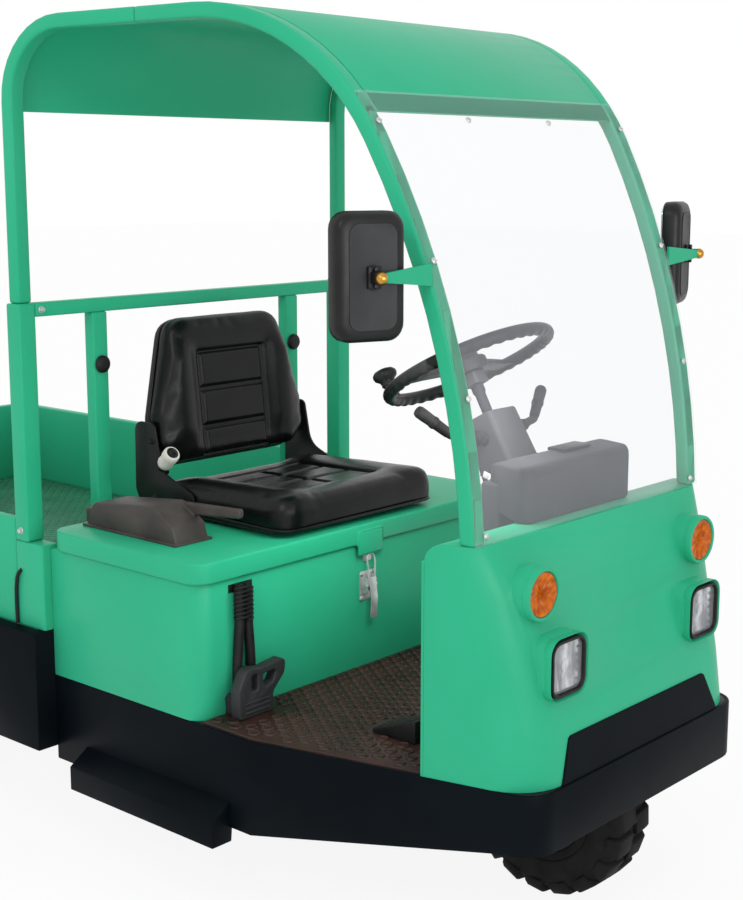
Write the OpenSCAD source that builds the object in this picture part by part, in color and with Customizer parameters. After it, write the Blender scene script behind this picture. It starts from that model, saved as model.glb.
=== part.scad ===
// Three-wheel electric tow tractor with a weather cab, a tip-up seat lid and a short load bed.
// +X is forward, +Y is the vehicle's left and +Z is up, in millimetres.
// The origin lies on the ground under the middle of the length.

/* [Overall] */
// Length from the bumper face to the tip of the hitch jaw
overall_l = 2800; // [2600:10:3100]
// Distance from the front axle to the rear axle
wheelbase = 1670; // [1560:10:1780]

/* [Wheels] */
// Outer radius of the tyres at the tips of the lugs
tyre_r = 200; // [188:1:206]
// Width of the tyres
tyre_w = 118; // [100:1:122]
// Radius of the bead seat on the rims
bead_r = 104; // [92:1:112]
// Distance from the bumper face back to the steering axis
steer_setback = 182; // [176:1:200]
// Distance of the front axle behind the steering axis
trail = 32; // [26:1:40]
// Half of the rear track
track_hw = 450; // [430:5:455]

/* [Front chassis] */
// Half width of the front chassis and the seat box
cab_hw = 500; // [480:5:515]
// Height of the top of the black chassis band
band_top = 356; // [340:2:380]
// Thickness of the band plate
band_t = 8; // [5:1:12]
// Ground clearance of the band beside the seat
band_clear = 162; // [140:2:190]
// Ground clearance of the band at the bumper
bumper_clear = 240; // [220:2:260]
// Half width of the bumper at its front corners
bumper_hw = 359; // [320:5:390]
// Length of the tapered part of the band
taper_l = 587; // [500:5:640]
// Radius of the bumper corners
bumper_r = 66; // [40:2:90]
// Thickness of the floor plate
floor_t = 12; // [6:1:20]
// Thickness of the floor mat
mat_t = 6; // [3:1:12]

/* [Nose] */
// Distance from the bumper face back to the rear edge of the nose
nose_depth = 223; // [215:1:250]
// Half width of the nose at its rear edge
nose_hw = 410; // [380:5:430]
// Height of the nose above the band
nose_h = 441; // [400:5:480]
// Thickness of the nose panel
nose_t = 5; // [3:1:8]

/* [Seat box] */
// Distance from the bumper face back to the seat box
seat_setback = 727; // [700:5:780]
// Length of the seat box
box_l = 475; // [450:5:520]
// Height of the seat box above the band
box_h = 286; // [270:2:310]
// Thickness of the walls of the seat box
box_wall = 20; // [14:1:26]
// Radius of the upright corners of the seat box
box_r = 45; // [25:1:60]
// Height of the seat lid
lid_h = 44; // [36:1:52]
// Overhang of the lid past the front and sides of the box
lid_over = 10; // [6:1:14]

/* [Seat] */
// Half width of the seat cushion
seat_hw = 239; // [210:1:250]
// Length of the seat cushion
cushion_l = 400; // [370:5:410]
// Half width of the backrest
back_hw = 218; // [200:1:228]
// Height of the seat cushion
cushion_h = 66; // [50:1:75]
// Height of the backrest
back_h = 324; // [300:2:335]
// Thickness of the backrest
back_t = 60; // [45:1:66]
// Lean of the backrest
back_lean = 6.5; // [4:0.5:7]

/* [Cab hoops] */
// Thickness of the hoops, seen from the side
hoop_d = 30; // [24:1:36]
// Width of the hoops, seen from the front
hoop_w = 36; // [28:1:42]
// Half width of the hoops' middle line where they stand on the nose
hoop_foot_hw = 368; // [345:1:375]
// Distance from the bumper face back to the foot of the hoops
hoop_setback = 132; // [130:1:140]
// Lean of the hoop at its foot
hoop_lean = 2.9; // [2:0.1:4]
// Radius of the long front sweep of the hoops
sweep_r = 1625; // [1580:5:1680]
// Angle of the long front sweep
sweep_a = 26.7; // [25:0.1:28]
// Radius of the front brow of the hoops
brow_r = 483; // [460:1:510]
// Radius of the rear bend of the hoops
bend_r = 170; // [150:1:190]
// Thickness of the windshield
glass_t = 5; // [4:1:8]
// Thickness of the roof sheet
roof_t = 4; // [3:1:8]

/* [Guard frame] */
// Width of the square guard posts
post_w = 45; // [38:1:50]
// Distance of the guard posts behind the seat box
post_setback = 72; // [68:1:90]
// Height of the top of the guard frame
bar_top = 1170; // [1165:1:1220]
// Height of the guard crossbar
bar_h = 30; // [24:1:34]
// Depth of the guard crossbar and the uprights
bar_d = 30; // [24:1:36]
// Distance of the guard uprights from the middle
upright_y = 305; // [290:1:340]
// Width of the guard uprights
upright_w = 42; // [34:1:50]
// Height of the middle of the lid buffers
buffer_z = 1023; // [980:1:1040]

/* [Load bed] */
// Ledge of the skirt outside the bed walls
bed_ledge = 28; // [20:1:34]
// Height of the top of the bed walls
wall_top = 698; // [690:1:760]
// Height of the foot of the guard posts
post_foot = 650; // [630:1:654]
// Thickness of the bed walls
wall_t = 25; // [16:1:34]
// Half width over the rear skirt
skirt_hw = 550; // [544:1:575]
// Thickness of the skirt
skirt_t = 30; // [20:1:32]
// Ground clearance of the skirt
skirt_clear = 191; // [170:1:205]
// Height of the top of the bed floor
bed_floor_z = 458; // [445:1:475]
// Thickness of the bed floor
bed_floor_t = 18; // [10:1:20]
// Reach of the tow hitch behind the bed
hitch_reach = 88; // [70:1:120]
// Radius of the hole for the hitch pin
hitch_pin_r = 15; // [10:1:18]
// Height of the middle of the hitch jaw
hitch_z = 300; // [285:5:330]

/* [Steering] */
// Outer radius of the steering wheel
wheel_rim_r = 187; // [170:1:196]
// Radius of the grip of the steering wheel
grip_r = 14; // [11:0.5:17]
// Height of the middle of the steering wheel
wheel_z = 1058; // [1040:1:1080]
// Distance from the bumper face back to the middle of the steering wheel
wheel_setback = 447; // [430:1:460]
// Lean of the steering column from upright
column_lean = 29; // [26:0.5:32]

/* [Hidden] */
$fn = 64;
eps = 1;
pin_clear = 0.3;
run_clear = 12;

front_x = overall_l / 2;
steer_x = front_x - steer_setback;
axle_f_x = steer_x - trail;
axle_r_x = axle_f_x - wheelbase;
nose_rear_x = front_x - nose_depth;
box_front_x = front_x - seat_setback;
cab_rear_x = box_front_x - box_l;
post_x = cab_rear_x - post_setback;
guard_x = post_x + post_w / 2;
bed_rear_x = -front_x + hitch_reach;
bed_hw = skirt_hw - bed_ledge;
post_y = bed_hw - post_w / 2;
nose_top = band_top + nose_h;
box_top = band_top + box_h;
lid_gap = 0.5;
lid_z = box_top + lid_gap;
lid_top = lid_z + lid_h;

// Clear round the turning front wheel
house_r = 186;
house_t = 6;
house_cut = 112;
house_top = 2 * tyre_r + 46;
head_r = 34;
head_h = 110;
king_r = 22;
fork_gap = tyre_w / 2 + run_clear;
fork_t = 14;
fork_w = 70;
crown_z = 2 * tyre_r + 12;
crown_h = 28;
axle_pin_r = 12;
hub_r = 34;
stub_r = 22;

// Nose sections: height above the band, distance behind the bumper face, corner radius
NOSE_SECTIONS = [[0, 7, 110], [113, 25, 110], [212, 47, 108], [348, 82, 96], [nose_h, 122, 60]];
nose_taper = 0.24;
bulkhead_t = 6;
nose_roll = 34;

lamp_y = 241;
lamp_z = band_top + 213;
lamp_w = 104;
lamp_d = 9;
lamp_r = 26;
lens_t = 6;
cup_setback = 33;
cup_l = 70;
cup_t = 8;
indicator_y = 278;
indicator_z = band_top + 349;
indicator_r = 42;
indicator_d = 16;
indicator_setback = 66;
patch_hw = 198;
patch_h = 87;
patch_t = 3;
patch_slope = 18;

hinge_x = cab_rear_x - 9;
hinge_z = box_top + 13;
hinge_r = 7;
knuckle_r = 10;
hinge_y = cab_hw - 160;
hinge_l = 36;
lug_t = 14;
lug_gap = 3;
lug_drop = 34;
lid_back = 6;
lid_pan_t = 6;
lid_rim = 34;

battery_gap = 25;
battery_h = 250;

seat_base_h = 14;
seat_pan_t = 6;
slide_y = 165;
slide_w = 36;
cushion_setback = 14;
cushion_r = 40;
bracket_t = 6;
back_setback = 403;
back_lift = 90;
back_top_hw = 158;
recliner_z = 75;
recliner_r = 14;

hoop_x = front_x - hoop_setback;
cab_w = 2 * (post_y + hoop_w);
hoop_split = 906;
roof_rear_drop = 20;
HOOP_STEPS = 9;
BROW_STEPS = 12;
ROOF_FIRST_STEP = 1;
GLASS_LAST_STEP = 2;
hoop_splay = (post_y - hoop_foot_hw) / (hoop_x - hoop_d / 2 - post_x);

mirror_z = 1272;
mirror_setback = 225;
mirror_y = 523;
mirror_yaw = 20;
mirror_w = 134;
mirror_h = 222;
mirror_d = 40;
mirror_r = 30;
mirror_back = 14;
mirror_lip = 8;
mirror_glass_t = 3;
arm_t = 6;
arm_root = 64;
arm_tip = 22;
ball_r = 11;
stud_r = 6;
stud_l = 30;

buffer_r = 20;
buffer_l = 14;

bed_plate_t = 5;
bed_plate_gap = 4;

step_l = 451;
step_front = 82;
step_reach = 48;
step_top = 230;
step_edge = 186;
step_foot = 132;
step_t = 6;
step_flange = 26;

dash_hw = 182;
dash_h = 112;
dash_r = 26;
dash_overhang = 46;
dash_corner = 50;

arch_top = 2 * tyre_r + 26;
arch_lead = 1.16;
rail_y = 260;
rail_w = 60;
rail_h = 100;
axle_tube_r = 36;
spring_l = 720;
spring_sag = 66;
leaf_t = 8;
LEAF_LENGTHS = [spring_l, 520, 320];
spring_t = leaf_t * len(LEAF_LENGTHS);
spring_w = 54;
shackle_l = 32;
shackle_h = 20;

column_r = 26;
shroud_drop = 246;
shroud_h = 150;
shroud_x = 55;
shroud_y = 62;
shroud_r = 20;
stalk_y = 40;
stalk_drop = 150;
stalk_tilt = 78;
stalk_r = 6;
stalk_l = 92;
stalk_boot_r = 14;
stalk_boot_l = 60;
stalk_bend = 30;
stalk_grip_r = 10;
stalk_grip_l = 62;
column_x = front_x - wheel_setback;
column_l = (nose_rear_x - bulkhead_t - column_x) / sin(column_lean) + column_r / tan(column_lean);
hub_h = 36;
wheel_hub_r = 40;
shaft_r = 10;
spoke_w = 46;
spoke_t = 14;
spoke_turn = 100;
spinner_turn = -150;
spinner_r = 20;
spinner_h = 60;

pedal_y = 276;
pedal_w = 70;
pedal_l = 110;
pedal_h = 46;
pedal_lip = 8;
pedal_setback = 156;
brake_y = 230;
brake_z = 160;
brake_w = 70;
brake_arm = 20;
brake_lift = 100;
brake_reach = 110;
brake_pad_h = 60;
brake_pad_t = 10;

motor_l = 330;
motor_r = 84;
gear_r = 92;
gear_w = 120;
saddle_l = 80;

latch_hw = 28;
latch_t = 5;
latch_low = 130;
latch_high = 36;
toggle_hw = 12;
toggle_t = 9;
toggle_low = 122;
toggle_high = 60;
hook_hw = 40;
hook_t = 5;
hook_drop = 24;
hook_rise = 30;

jaw_h = 44;
jaw_cheek = 30;
jaw_hw = 60;
jaw_back = 20;
jaw_pin = 34;

rear_lamp_r = 45;
rear_lamp_t = 22;

plug_y = cab_hw - 112;
plug_w = 92;
plug_d = 62;
plug_h = 62;
plug_r = 12;
handle_x = 40;
handle_t = 16;
handle_w = 14;
handle_h = 52;
handle_lean = 18;
lead_r = 11;
lead_pitch = 38;
lead_drop = 12;

brake_lever_y = 346;
brake_lever_t = 16;
brake_lever_z = 72;
brake_lever_h = 20;
brake_lever_front = 33;
brake_cover_w = 92;
brake_cover_l = 296;
brake_cover_h = 76;
brake_cover_rear = 38;

// Points of an outline whose corners, given as [x, y, radius], are rounded
function unit(v) = v / norm(v);
function corner_arc(a, p, b, r, n) =
    let (u = unit([a.x - p.x, a.y - p.y]),
         v = unit([b.x - p.x, b.y - p.y]),
         half = acos(u * v) / 2,
         centre = [p.x, p.y] + unit(u + v) * r / sin(half),
         first = [p.x, p.y] + u * r / tan(half) - centre,
         last = [p.x, p.y] + v * r / tan(half) - centre,
         a0 = atan2(first.y, first.x),
         turn = atan2(last.y, last.x) - a0,
         sweep = turn > 180 ? turn - 360 : turn < -180 ? turn + 360 : turn)
    [for (k = [0:n]) centre + r * [cos(a0 + sweep * k / n), sin(a0 + sweep * k / n)]];
function rounded(pts, n = 6) =
    let (m = len(pts))
    [for (i = [0:m - 1])
        each pts[i][2] > 0
            ? corner_arc(pts[(i + m - 1) % m], pts[i], pts[(i + 1) % m], pts[i][2], n)
            : [[pts[i].x, pts[i].y]]];
function rounded_box(x0, x1, y0, y1, r, n = 6) =
    rounded([[x0, y0, r], [x1, y0, r], [x1, y1, r], [x0, y1, r]], n);
function backwards(list) = [for (i = [len(list) - 1:-1:0]) list[i]];
function arc(centre, r, a0, a1, n) =
    [for (k = [0:n]) centre + r * [cos(a0 + (a1 - a0) * k / n), sin(a0 + (a1 - a0) * k / n)]];

// A drawing in X and Z, pulled out to both sides of the middle plane
module along_y(w, y = 0) {
    translate([0, y + w / 2, 0])
        rotate([90, 0, 0])
            linear_extrude(w)
                children();
}

// A drawing in Y and Z, pulled out forward from x
module along_x(l, x) {
    translate([x, 0, 0])
        rotate([90, 0, 90])
            linear_extrude(l)
                children();
}

module both_sides() {
    children();
    mirror([0, 1, 0])
        children();
}

// Box from its lowest to its highest corner
module block(x0, x1, y0, y1, z0, z1) {
    translate([x0, y0, z0])
        cube([x1 - x0, y1 - y0, z1 - z0]);
}

// Cylinder along Y
module pin_y(r, y0, y1) {
    translate([0, y1, 0])
        rotate([90, 0, 0])
            cylinder(r = r, h = y1 - y0);
}

// Cylinder along X
module pin_x(r, x0, x1) {
    translate([x0, 0, 0])
        rotate([0, 90, 0])
            cylinder(r = r, h = x1 - x0);
}

// Plan of the front chassis, drawn in by a wall
module band_plan(wall) {
    side = cab_hw - wall;
    front = bumper_hw - wall;
    r = bumper_r - wall;
    polygon(rounded([
        [cab_rear_x + wall, -side, 0],
        [front_x - taper_l, -side, 0],
        [front_x - wall, -front, r],
        [front_x - wall, front, r],
        [front_x - taper_l, side, 0],
        [cab_rear_x + wall, side, 0]]));
}

module chassis_band() color("#22282c") {
    intersection() {
        linear_extrude(band_top)
            difference() {
                band_plan(0);
                band_plan(band_t);
            }
        along_y(2 * cab_hw + eps)
            polygon([
                [cab_rear_x - eps, band_clear],
                [front_x - taper_l, band_clear],
                [front_x - bumper_r, bumper_clear],
                [front_x + eps, bumper_clear],
                [front_x + eps, band_top],
                [cab_rear_x - eps, band_top]]);
    }
}

module floor_plate() color("#2a2d2f") {
    difference() {
        translate([0, 0, band_top - floor_t])
            linear_extrude(floor_t)
                band_plan(band_t);
        translate([steer_x, 0, 0])
            cylinder(r = house_r + house_t, h = band_top + eps);
    }
}

module floor_mat() color("#3c2f2b") {
    difference() {
        intersection() {
            translate([0, 0, band_top])
                linear_extrude(mat_t)
                    band_plan(band_t);
            block(box_front_x, nose_rear_x - bulkhead_t, -cab_hw, cab_hw, band_top, band_top + mat_t);
        }
        translate([steer_x, 0, 0])
            cylinder(r = house_r + house_t, h = band_top + mat_t + eps);
    }
}

// Drum over the turning front wheel, with the head that carries the fork
module wheel_house() color("#2a2d2f") {
    difference() {
        translate([steer_x, 0, 0])
            rotate_extrude()
                polygon([
                    [house_r, band_top - floor_t],
                    [house_r + house_t, band_top - floor_t],
                    [house_r + house_t, house_top + house_t],
                    [head_r, house_top + house_t],
                    [head_r, house_top + head_h],
                    [king_r + pin_clear, house_top + head_h],
                    [king_r + pin_clear, house_top],
                    [house_r, house_top]]);
        block(steer_x + house_cut, front_x + house_r, -cab_hw, cab_hw, 0, nose_top);
    }
}

// One closed skin through outlines of equal point counts, from the lowest up
module skin(rings) {
    n = len(rings[0]);
    m = len(rings);
    polyhedron(
        points = [for (ring = rings) each ring],
        faces = concat(
            [[for (i = [0:n - 1]) i]],
            [for (k = [0:m - 2], i = [0:n - 1])
                each [[k * n + i, (k + 1) * n + i, k * n + (i + 1) % n],
                      [k * n + (i + 1) % n, (k + 1) * n + i, (k + 1) * n + (i + 1) % n]]],
            [[for (i = [n - 1:-1:0]) (m - 1) * n + i]]));
}
function nose_side(x) = nose_hw - nose_taper * (x - nose_rear_x);
function nose_ring(z, setback, r, wall, rear) =
    let (x = front_x - setback - wall)
    [for (p = rounded([
        [rear, -nose_side(rear) + wall, 0],
        [x, -nose_side(x) + wall, r - wall],
        [x, nose_side(x) - wall, r - wall],
        [rear, nose_side(rear) - wall, 0]]))
        [p.x, p.y, z]];
module nose_body(wall, rear, drop, sink) {
    last = len(NOSE_SECTIONS) - 1;
    skin([for (i = [0:last])
        let (s = NOSE_SECTIONS[i])
        nose_ring(band_top + s[0] - (i == 0 ? sink : 0) - (i == last ? drop : 0), s[1], s[2], wall, rear)]);
}

// Side view of the nose, drawn in by a wall, with its top rolled down at the rear
module nose_profile(wall, open) {
    roll_c = [nose_rear_x + nose_roll, nose_top - nose_roll];
    polygon(concat(
        [[front_x, 0], [front_x, nose_top - wall]],
        arc(roll_c, nose_roll - wall, 90, 180, 8),
        [[nose_rear_x - open, nose_top - nose_roll], [nose_rear_x - open, 0]]));
}

module nose_cowl() color("#38b080") {
    difference() {
        union() {
            intersection() {
                nose_body(0, nose_rear_x, 0, 0);
                along_y(2 * cab_hw)
                    nose_profile(0, 0);
            }
            both_sides()
                along_x(cup_l, front_x - cup_setback - cup_l)
                    polygon(rounded_box(lamp_y - lamp_w / 2 - cup_t, lamp_y + lamp_w / 2 + cup_t,
                        lamp_z - lamp_w / 2 - cup_t, lamp_z + lamp_w / 2 + cup_t, lamp_r + cup_t));
            both_sides()
                translate([0, indicator_y, indicator_z])
                    pin_x(indicator_r + cup_t, front_x - indicator_setback - cup_l,
                        front_x - indicator_setback);
        }
        intersection() {
            nose_body(nose_t, nose_rear_x - eps, nose_t, eps);
            along_y(2 * cab_hw)
                nose_profile(nose_t, eps);
        }
    }
}

// Black patch low on the front of the nose
module nose_patch() color("#1c2022") {
    lean = atan((NOSE_SECTIONS[1][1] - NOSE_SECTIONS[0][1]) / NOSE_SECTIONS[1][0]);
    translate([front_x - NOSE_SECTIONS[0][1], 0, band_top])
        rotate([0, -lean, 0])
            along_x(patch_t, 0)
                polygon([
                    [-patch_hw + patch_slope, 0],
                    [patch_hw - patch_slope, 0],
                    [patch_hw, patch_h],
                    [-patch_hw, patch_h]]);
}

module bulkhead() color("#2a2d2f") {
    top = nose_top - nose_roll;
    house_hw = house_r + house_t;
    along_x(bulkhead_t, nose_rear_x - bulkhead_t)
        difference() {
            polygon([[-nose_hw, band_top], [nose_hw, band_top], [nose_hw, top], [-nose_hw, top]]);
            translate([-house_hw, band_top - eps])
                square([2 * house_hw, house_top + house_t - band_top + eps]);
        }
}

module dash() color("#3b4043") {
    rear = nose_rear_x - bulkhead_t;
    front = hoop_x - hoop_d;
    intersection() {
        along_y(2 * dash_hw)
            polygon(rounded([
                [nose_rear_x + nose_roll, nose_top, 0],
                [front, nose_top, 0],
                [front, nose_top + dash_h - 7, dash_r],
                [rear - dash_r, nose_top + dash_h, dash_r],
                [rear - dash_overhang, nose_top + dash_overhang, dash_r / 2],
                [rear, nose_top + dash_r / 2, dash_r / 2]]));
        linear_extrude(wheel_z)
            polygon(rounded([
                [rear - dash_overhang, -dash_hw, dash_corner],
                [front, -dash_hw, dash_r],
                [front, dash_hw, dash_r],
                [rear - dash_overhang, dash_hw, dash_corner]]));
    }
}

// Places its children on the column axis, with +Z up the column from the wheel's middle
module on_column() {
    translate([column_x, 0, wheel_z])
        rotate([0, -column_lean, 0])
            children();
}

module steering_column() color("#2f3336") {
    difference() {
        on_column() {
            translate([0, 0, -column_l])
                cylinder(r = column_r, h = column_l - hub_h / 2);
            translate([0, 0, -hub_h])
                cylinder(r = shaft_r, h = hub_h);
            translate([0, 0, -shroud_drop])
                linear_extrude(shroud_h)
                    polygon(rounded_box(-shroud_x, shroud_x, -shroud_y, shroud_y, shroud_r));
            for (s = [-1, 1])
                translate([0, s * stalk_y, -stalk_drop])
                    rotate([-s * stalk_tilt, 0, 0]) {
                        cylinder(r = stalk_r, h = stalk_l);
                        cylinder(r = stalk_boot_r, h = stalk_boot_l);
                        translate([0, 0, stalk_l]) {
                            sphere(stalk_grip_r);
                            rotate([s * stalk_bend, 0, 0])
                                cylinder(r = stalk_grip_r, h = stalk_grip_l);
                        }
                    }
        }
        block(nose_rear_x - bulkhead_t, front_x, -cab_hw, cab_hw, 0, wheel_z);
    }
}

module steering_wheel() color("#1d2022") {
    on_column()
        difference() {
            union() {
                rotate_extrude()
                    translate([wheel_rim_r - grip_r, 0])
                        circle(grip_r);
                translate([0, 0, -hub_h / 2])
                    cylinder(r = wheel_hub_r, h = hub_h);
                for (s = [-1, 1])
                    rotate([0, 0, s * spoke_turn])
                        block(0, wheel_rim_r - grip_r, -spoke_w / 2, spoke_w / 2, -spoke_t / 2, spoke_t / 2);
                rotate([0, 0, spinner_turn])
                    translate([wheel_rim_r - grip_r, 0, 0])
                        cylinder(r = spinner_r, h = spinner_h);
            }
            translate([0, 0, -hub_h])
                cylinder(r = shaft_r + pin_clear, h = hub_h + pin_clear);
        }
}

// Floor pedal for the drive and hanging pedal for the brake
module pedals() color("#1d2022") {
    translate([nose_rear_x - pedal_setback, -pedal_y, band_top + mat_t])
        along_y(pedal_w)
            polygon([
                [-pedal_l / 2, 0],
                [pedal_l / 2, 0],
                [pedal_l / 2, pedal_h],
                [pedal_l / 2 - pedal_lip, pedal_h],
                [-pedal_l / 2, pedal_lip]]);
    translate([nose_rear_x - bulkhead_t, -brake_y, band_top + brake_z]) {
        block(-brake_arm, 0, -brake_arm / 2, brake_arm / 2, -brake_arm / 2, brake_lift);
        block(-brake_reach, 0, -brake_arm / 2, brake_arm / 2, -brake_arm / 2, brake_arm / 2);
        block(-brake_reach - brake_pad_t, -brake_reach, -brake_w / 2, brake_w / 2,
            -brake_pad_h / 2, brake_pad_h / 2);
    }
}

module seat_box() color("#4cb492") {
    difference() {
        union() {
            translate([0, 0, band_top])
                linear_extrude(box_h)
                    difference() {
                        polygon(rounded([
                            [cab_rear_x, -cab_hw, 0],
                            [box_front_x, -cab_hw, box_r],
                            [box_front_x, cab_hw, box_r],
                            [cab_rear_x, cab_hw, 0]]));
                        polygon(rounded_box(cab_rear_x + box_wall, box_front_x - box_wall,
                            -cab_hw + box_wall, cab_hw - box_wall, box_r - box_wall));
                    }
            both_sides()
                for (s = [-1, 1])
                    translate([hinge_x, hinge_y + s * (hinge_l / 2 + lug_gap + lug_t / 2), hinge_z]) {
                        pin_y(knuckle_r, -lug_t / 2, lug_t / 2);
                        block(-knuckle_r, cab_rear_x - hinge_x, -lug_t / 2, lug_t / 2, -lug_drop, 0);
                    }
        }
        translate([hinge_x, 0, hinge_z])
            pin_y(hinge_r + pin_clear, -cab_hw, cab_hw);
    }
}

module battery() color("#44484a") {
    in = box_wall + battery_gap;
    block(cab_rear_x + in, box_front_x - in, -cab_hw + in, cab_hw - in, band_top, band_top + battery_h);
}

// Pressed pan that closes the seat box, with its hinge pins and the hook of the latch
module seat_lid() color("#56bd9b") {
    front = box_front_x + lid_over;
    side = cab_hw + lid_over - 2;
    pin_reach = hinge_l / 2 + lug_gap + lug_t;
    difference() {
        union() {
            translate([0, 0, lid_z])
                linear_extrude(lid_h)
                    polygon(rounded([
                        [cab_rear_x + lid_back, -side, box_r],
                        [front, -side, box_r],
                        [front, side, box_r],
                        [cab_rear_x + lid_back, side, box_r]]));
            both_sides()
                translate([hinge_x, 0, hinge_z]) {
                    pin_y(knuckle_r, hinge_y - hinge_l / 2, hinge_y + hinge_l / 2);
                    pin_y(hinge_r, hinge_y - pin_reach, hinge_y + pin_reach);
                    block(0, cab_rear_x + lid_back + eps - hinge_x, hinge_y - hinge_l / 2,
                        hinge_y + hinge_l / 2, -knuckle_r / 2, knuckle_r);
                }
            block(front - eps, front + hook_t, -hook_hw, hook_hw, lid_z - hook_drop, lid_z + hook_rise);
        }
        translate([0, 0, lid_z - eps])
            linear_extrude(lid_h - lid_pan_t + eps)
                polygon(rounded_box(cab_rear_x + lid_rim, front - lid_rim,
                    -side + lid_rim, side - lid_rim, box_r / 2));
    }
}

module lid_latch() color("#c9ccce") {
    face = box_front_x + latch_t;
    block(box_front_x, face, -latch_hw, latch_hw, box_top - latch_low, box_top - latch_high);
    block(face, face + toggle_t, -toggle_hw, toggle_hw, box_top - toggle_low, box_top - toggle_high);
}

// Seat pan on its two slide rails
module seat_base() color("#26292b") {
    rear = box_front_x - cushion_setback - cushion_l - 40;
    front = box_front_x - cushion_setback - 30;
    side = seat_hw + bracket_t;
    block(rear, front, -side, side, lid_top + seat_base_h - seat_pan_t, lid_top + seat_base_h);
    both_sides()
        block(rear, front, slide_y - slide_w / 2, slide_y + slide_w / 2,
            lid_top, lid_top + seat_base_h - seat_pan_t);
}

// Parking brake: its cover on the lid and the lever along the seat
module hand_brake() color("#2b2d2f") {
    rear = cab_rear_x + brake_cover_rear;
    front = rear + brake_cover_l;
    outer = brake_lever_y - brake_lever_t / 2 + brake_cover_w;
    along_y(brake_cover_w, -outer + brake_cover_w / 2)
        polygon(rounded([
            [rear, lid_top, 0],
            [front, lid_top, 0],
            [front - 12, lid_top + brake_cover_h / 2, 10],
            [front - brake_cover_l / 4, lid_top + brake_cover_h, 24],
            [rear + 24, lid_top + brake_cover_h - 20, 24]]));
    along_y(brake_lever_t, -brake_lever_y)
        polygon(rounded([
            [front - brake_cover_l / 3, lid_top + brake_lever_z - 1.4 * brake_lever_h, 0],
            [box_front_x - brake_lever_front, lid_top + brake_lever_z - brake_lever_h / 2, 7],
            [box_front_x - brake_lever_front, lid_top + brake_lever_z + brake_lever_h / 2, 7],
            [front - brake_cover_l / 3, lid_top + brake_lever_z, 0]]));
}

module seat_cushion() color("#17181a") {
    x1 = box_front_x - cushion_setback;
    z0 = lid_top + seat_base_h;
    along_y(2 * seat_hw)
        polygon(rounded([
            [x1 - cushion_l, z0, 0],
            [x1, z0, 10],
            [x1, z0 + cushion_h, cushion_r],
            [x1 - cushion_l, z0 + cushion_h - 12, 20]]));
}

// Places its children at the foot of the backrest's front face, leaned with it
module on_back() {
    translate([box_front_x - back_setback, 0, lid_top + seat_base_h + back_lift])
        rotate([0, -back_lean, 0])
            children();
}

module seat_back() color("#17181a") {
    foot_hw = back_hw - 40;
    on_back()
        along_x(back_t, -back_t)
            polygon(rounded([
                [-foot_hw, 0, 30],
                [foot_hw, 0, 30],
                [back_hw, 40, 30],
                [back_hw, 110, 60],
                [back_top_hw, back_h, 50],
                [-back_top_hw, back_h, 50],
                [-back_hw, 110, 60],
                [-back_hw, 40, 30]]));
}

// Pressed plates at the sides of the seat that carry the backrest
module seat_brackets() color("#2c2624") {
    x1 = box_front_x - cushion_setback - cushion_l;
    z0 = lid_top + seat_base_h;
    both_sides()
        along_y(bracket_t, seat_hw + bracket_t / 2)
            polygon(rounded([
                [x1 + 120, z0, 0],
                [x1 - 36, z0, 0],
                [x1 - 44, z0 + 180, 14],
                [x1 + 6, z0 + 190, 14],
                [x1 + 20, z0 + 90, 20],
                [x1 + 120, z0 + 60, 14]]));
    both_sides()
        on_back()
            translate([-back_t / 2, 0, recliner_z])
                pin_y(recliner_r, back_hw, seat_hw);
}

// Outer line of the hoops, drawn in by d
function sweep_c() = [hoop_x, nose_top] - sweep_r * [cos(hoop_lean), sin(hoop_lean)];
brow_a = hoop_lean + sweep_a;
brow_c = sweep_c() + (sweep_r - brow_r) * [cos(brow_a), sin(brow_a)];
hoop_top = brow_c.y + brow_r;
bend_c = [post_x - hoop_d / 2 + bend_r, hoop_top - bend_r];
function sweep_line(d) = arc(sweep_c(), sweep_r - d, hoop_lean, brow_a, HOOP_STEPS);
function brow_line(d, first, last) =
    [for (k = [first:last])
        let (a = brow_a + (90 - brow_a) * k / BROW_STEPS)
        brow_c + (brow_r - d) * [cos(a), sin(a)]];
function front_line(d) = concat(sweep_line(d), brow_line(d, 1, BROW_STEPS));
function glass_line(d) = concat(sweep_line(d), brow_line(d, 1, GLASS_LAST_STEP));
function rear_line(d) = arc(bend_c, bend_r - d, 90, 180, HOOP_STEPS);
function hoop_y(x) = hoop_foot_hw + hoop_splay * (hoop_x - hoop_d / 2 - x);

// Plan between the hoops: half the cab, from y0 to y1 beside the hoops' middle line
module hoop_plan(side0, side1) {
    x0 = post_x - 2 * post_w;
    linear_extrude(2 * hoop_top)
        polygon([[x0, hoop_y(x0) + side0], [front_x, hoop_y(front_x) + side0],
            [front_x, hoop_y(front_x) + side1], [x0, hoop_y(x0) + side1]]);
}
module cab_plan(side) {
    x0 = post_x - 2 * post_w;
    linear_extrude(2 * hoop_top)
        polygon([[x0, -hoop_y(x0) - side], [front_x, -hoop_y(front_x) - side],
            [front_x, hoop_y(front_x) + side], [x0, hoop_y(x0) + side]]);
}

module front_hoops() color("#4cb492") {
    split_x = front_x - hoop_split;
    both_sides()
        intersection() {
            along_y(cab_w)
                difference() {
                    polygon(concat(front_line(0), [[split_x, hoop_top], [split_x, hoop_top - hoop_d]],
                        backwards(front_line(hoop_d))));
                    translate([0, nose_top - hoop_d])
                        square([front_x, hoop_d]);
                }
            hoop_plan(-hoop_w / 2, hoop_w / 2);
        }
}

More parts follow.
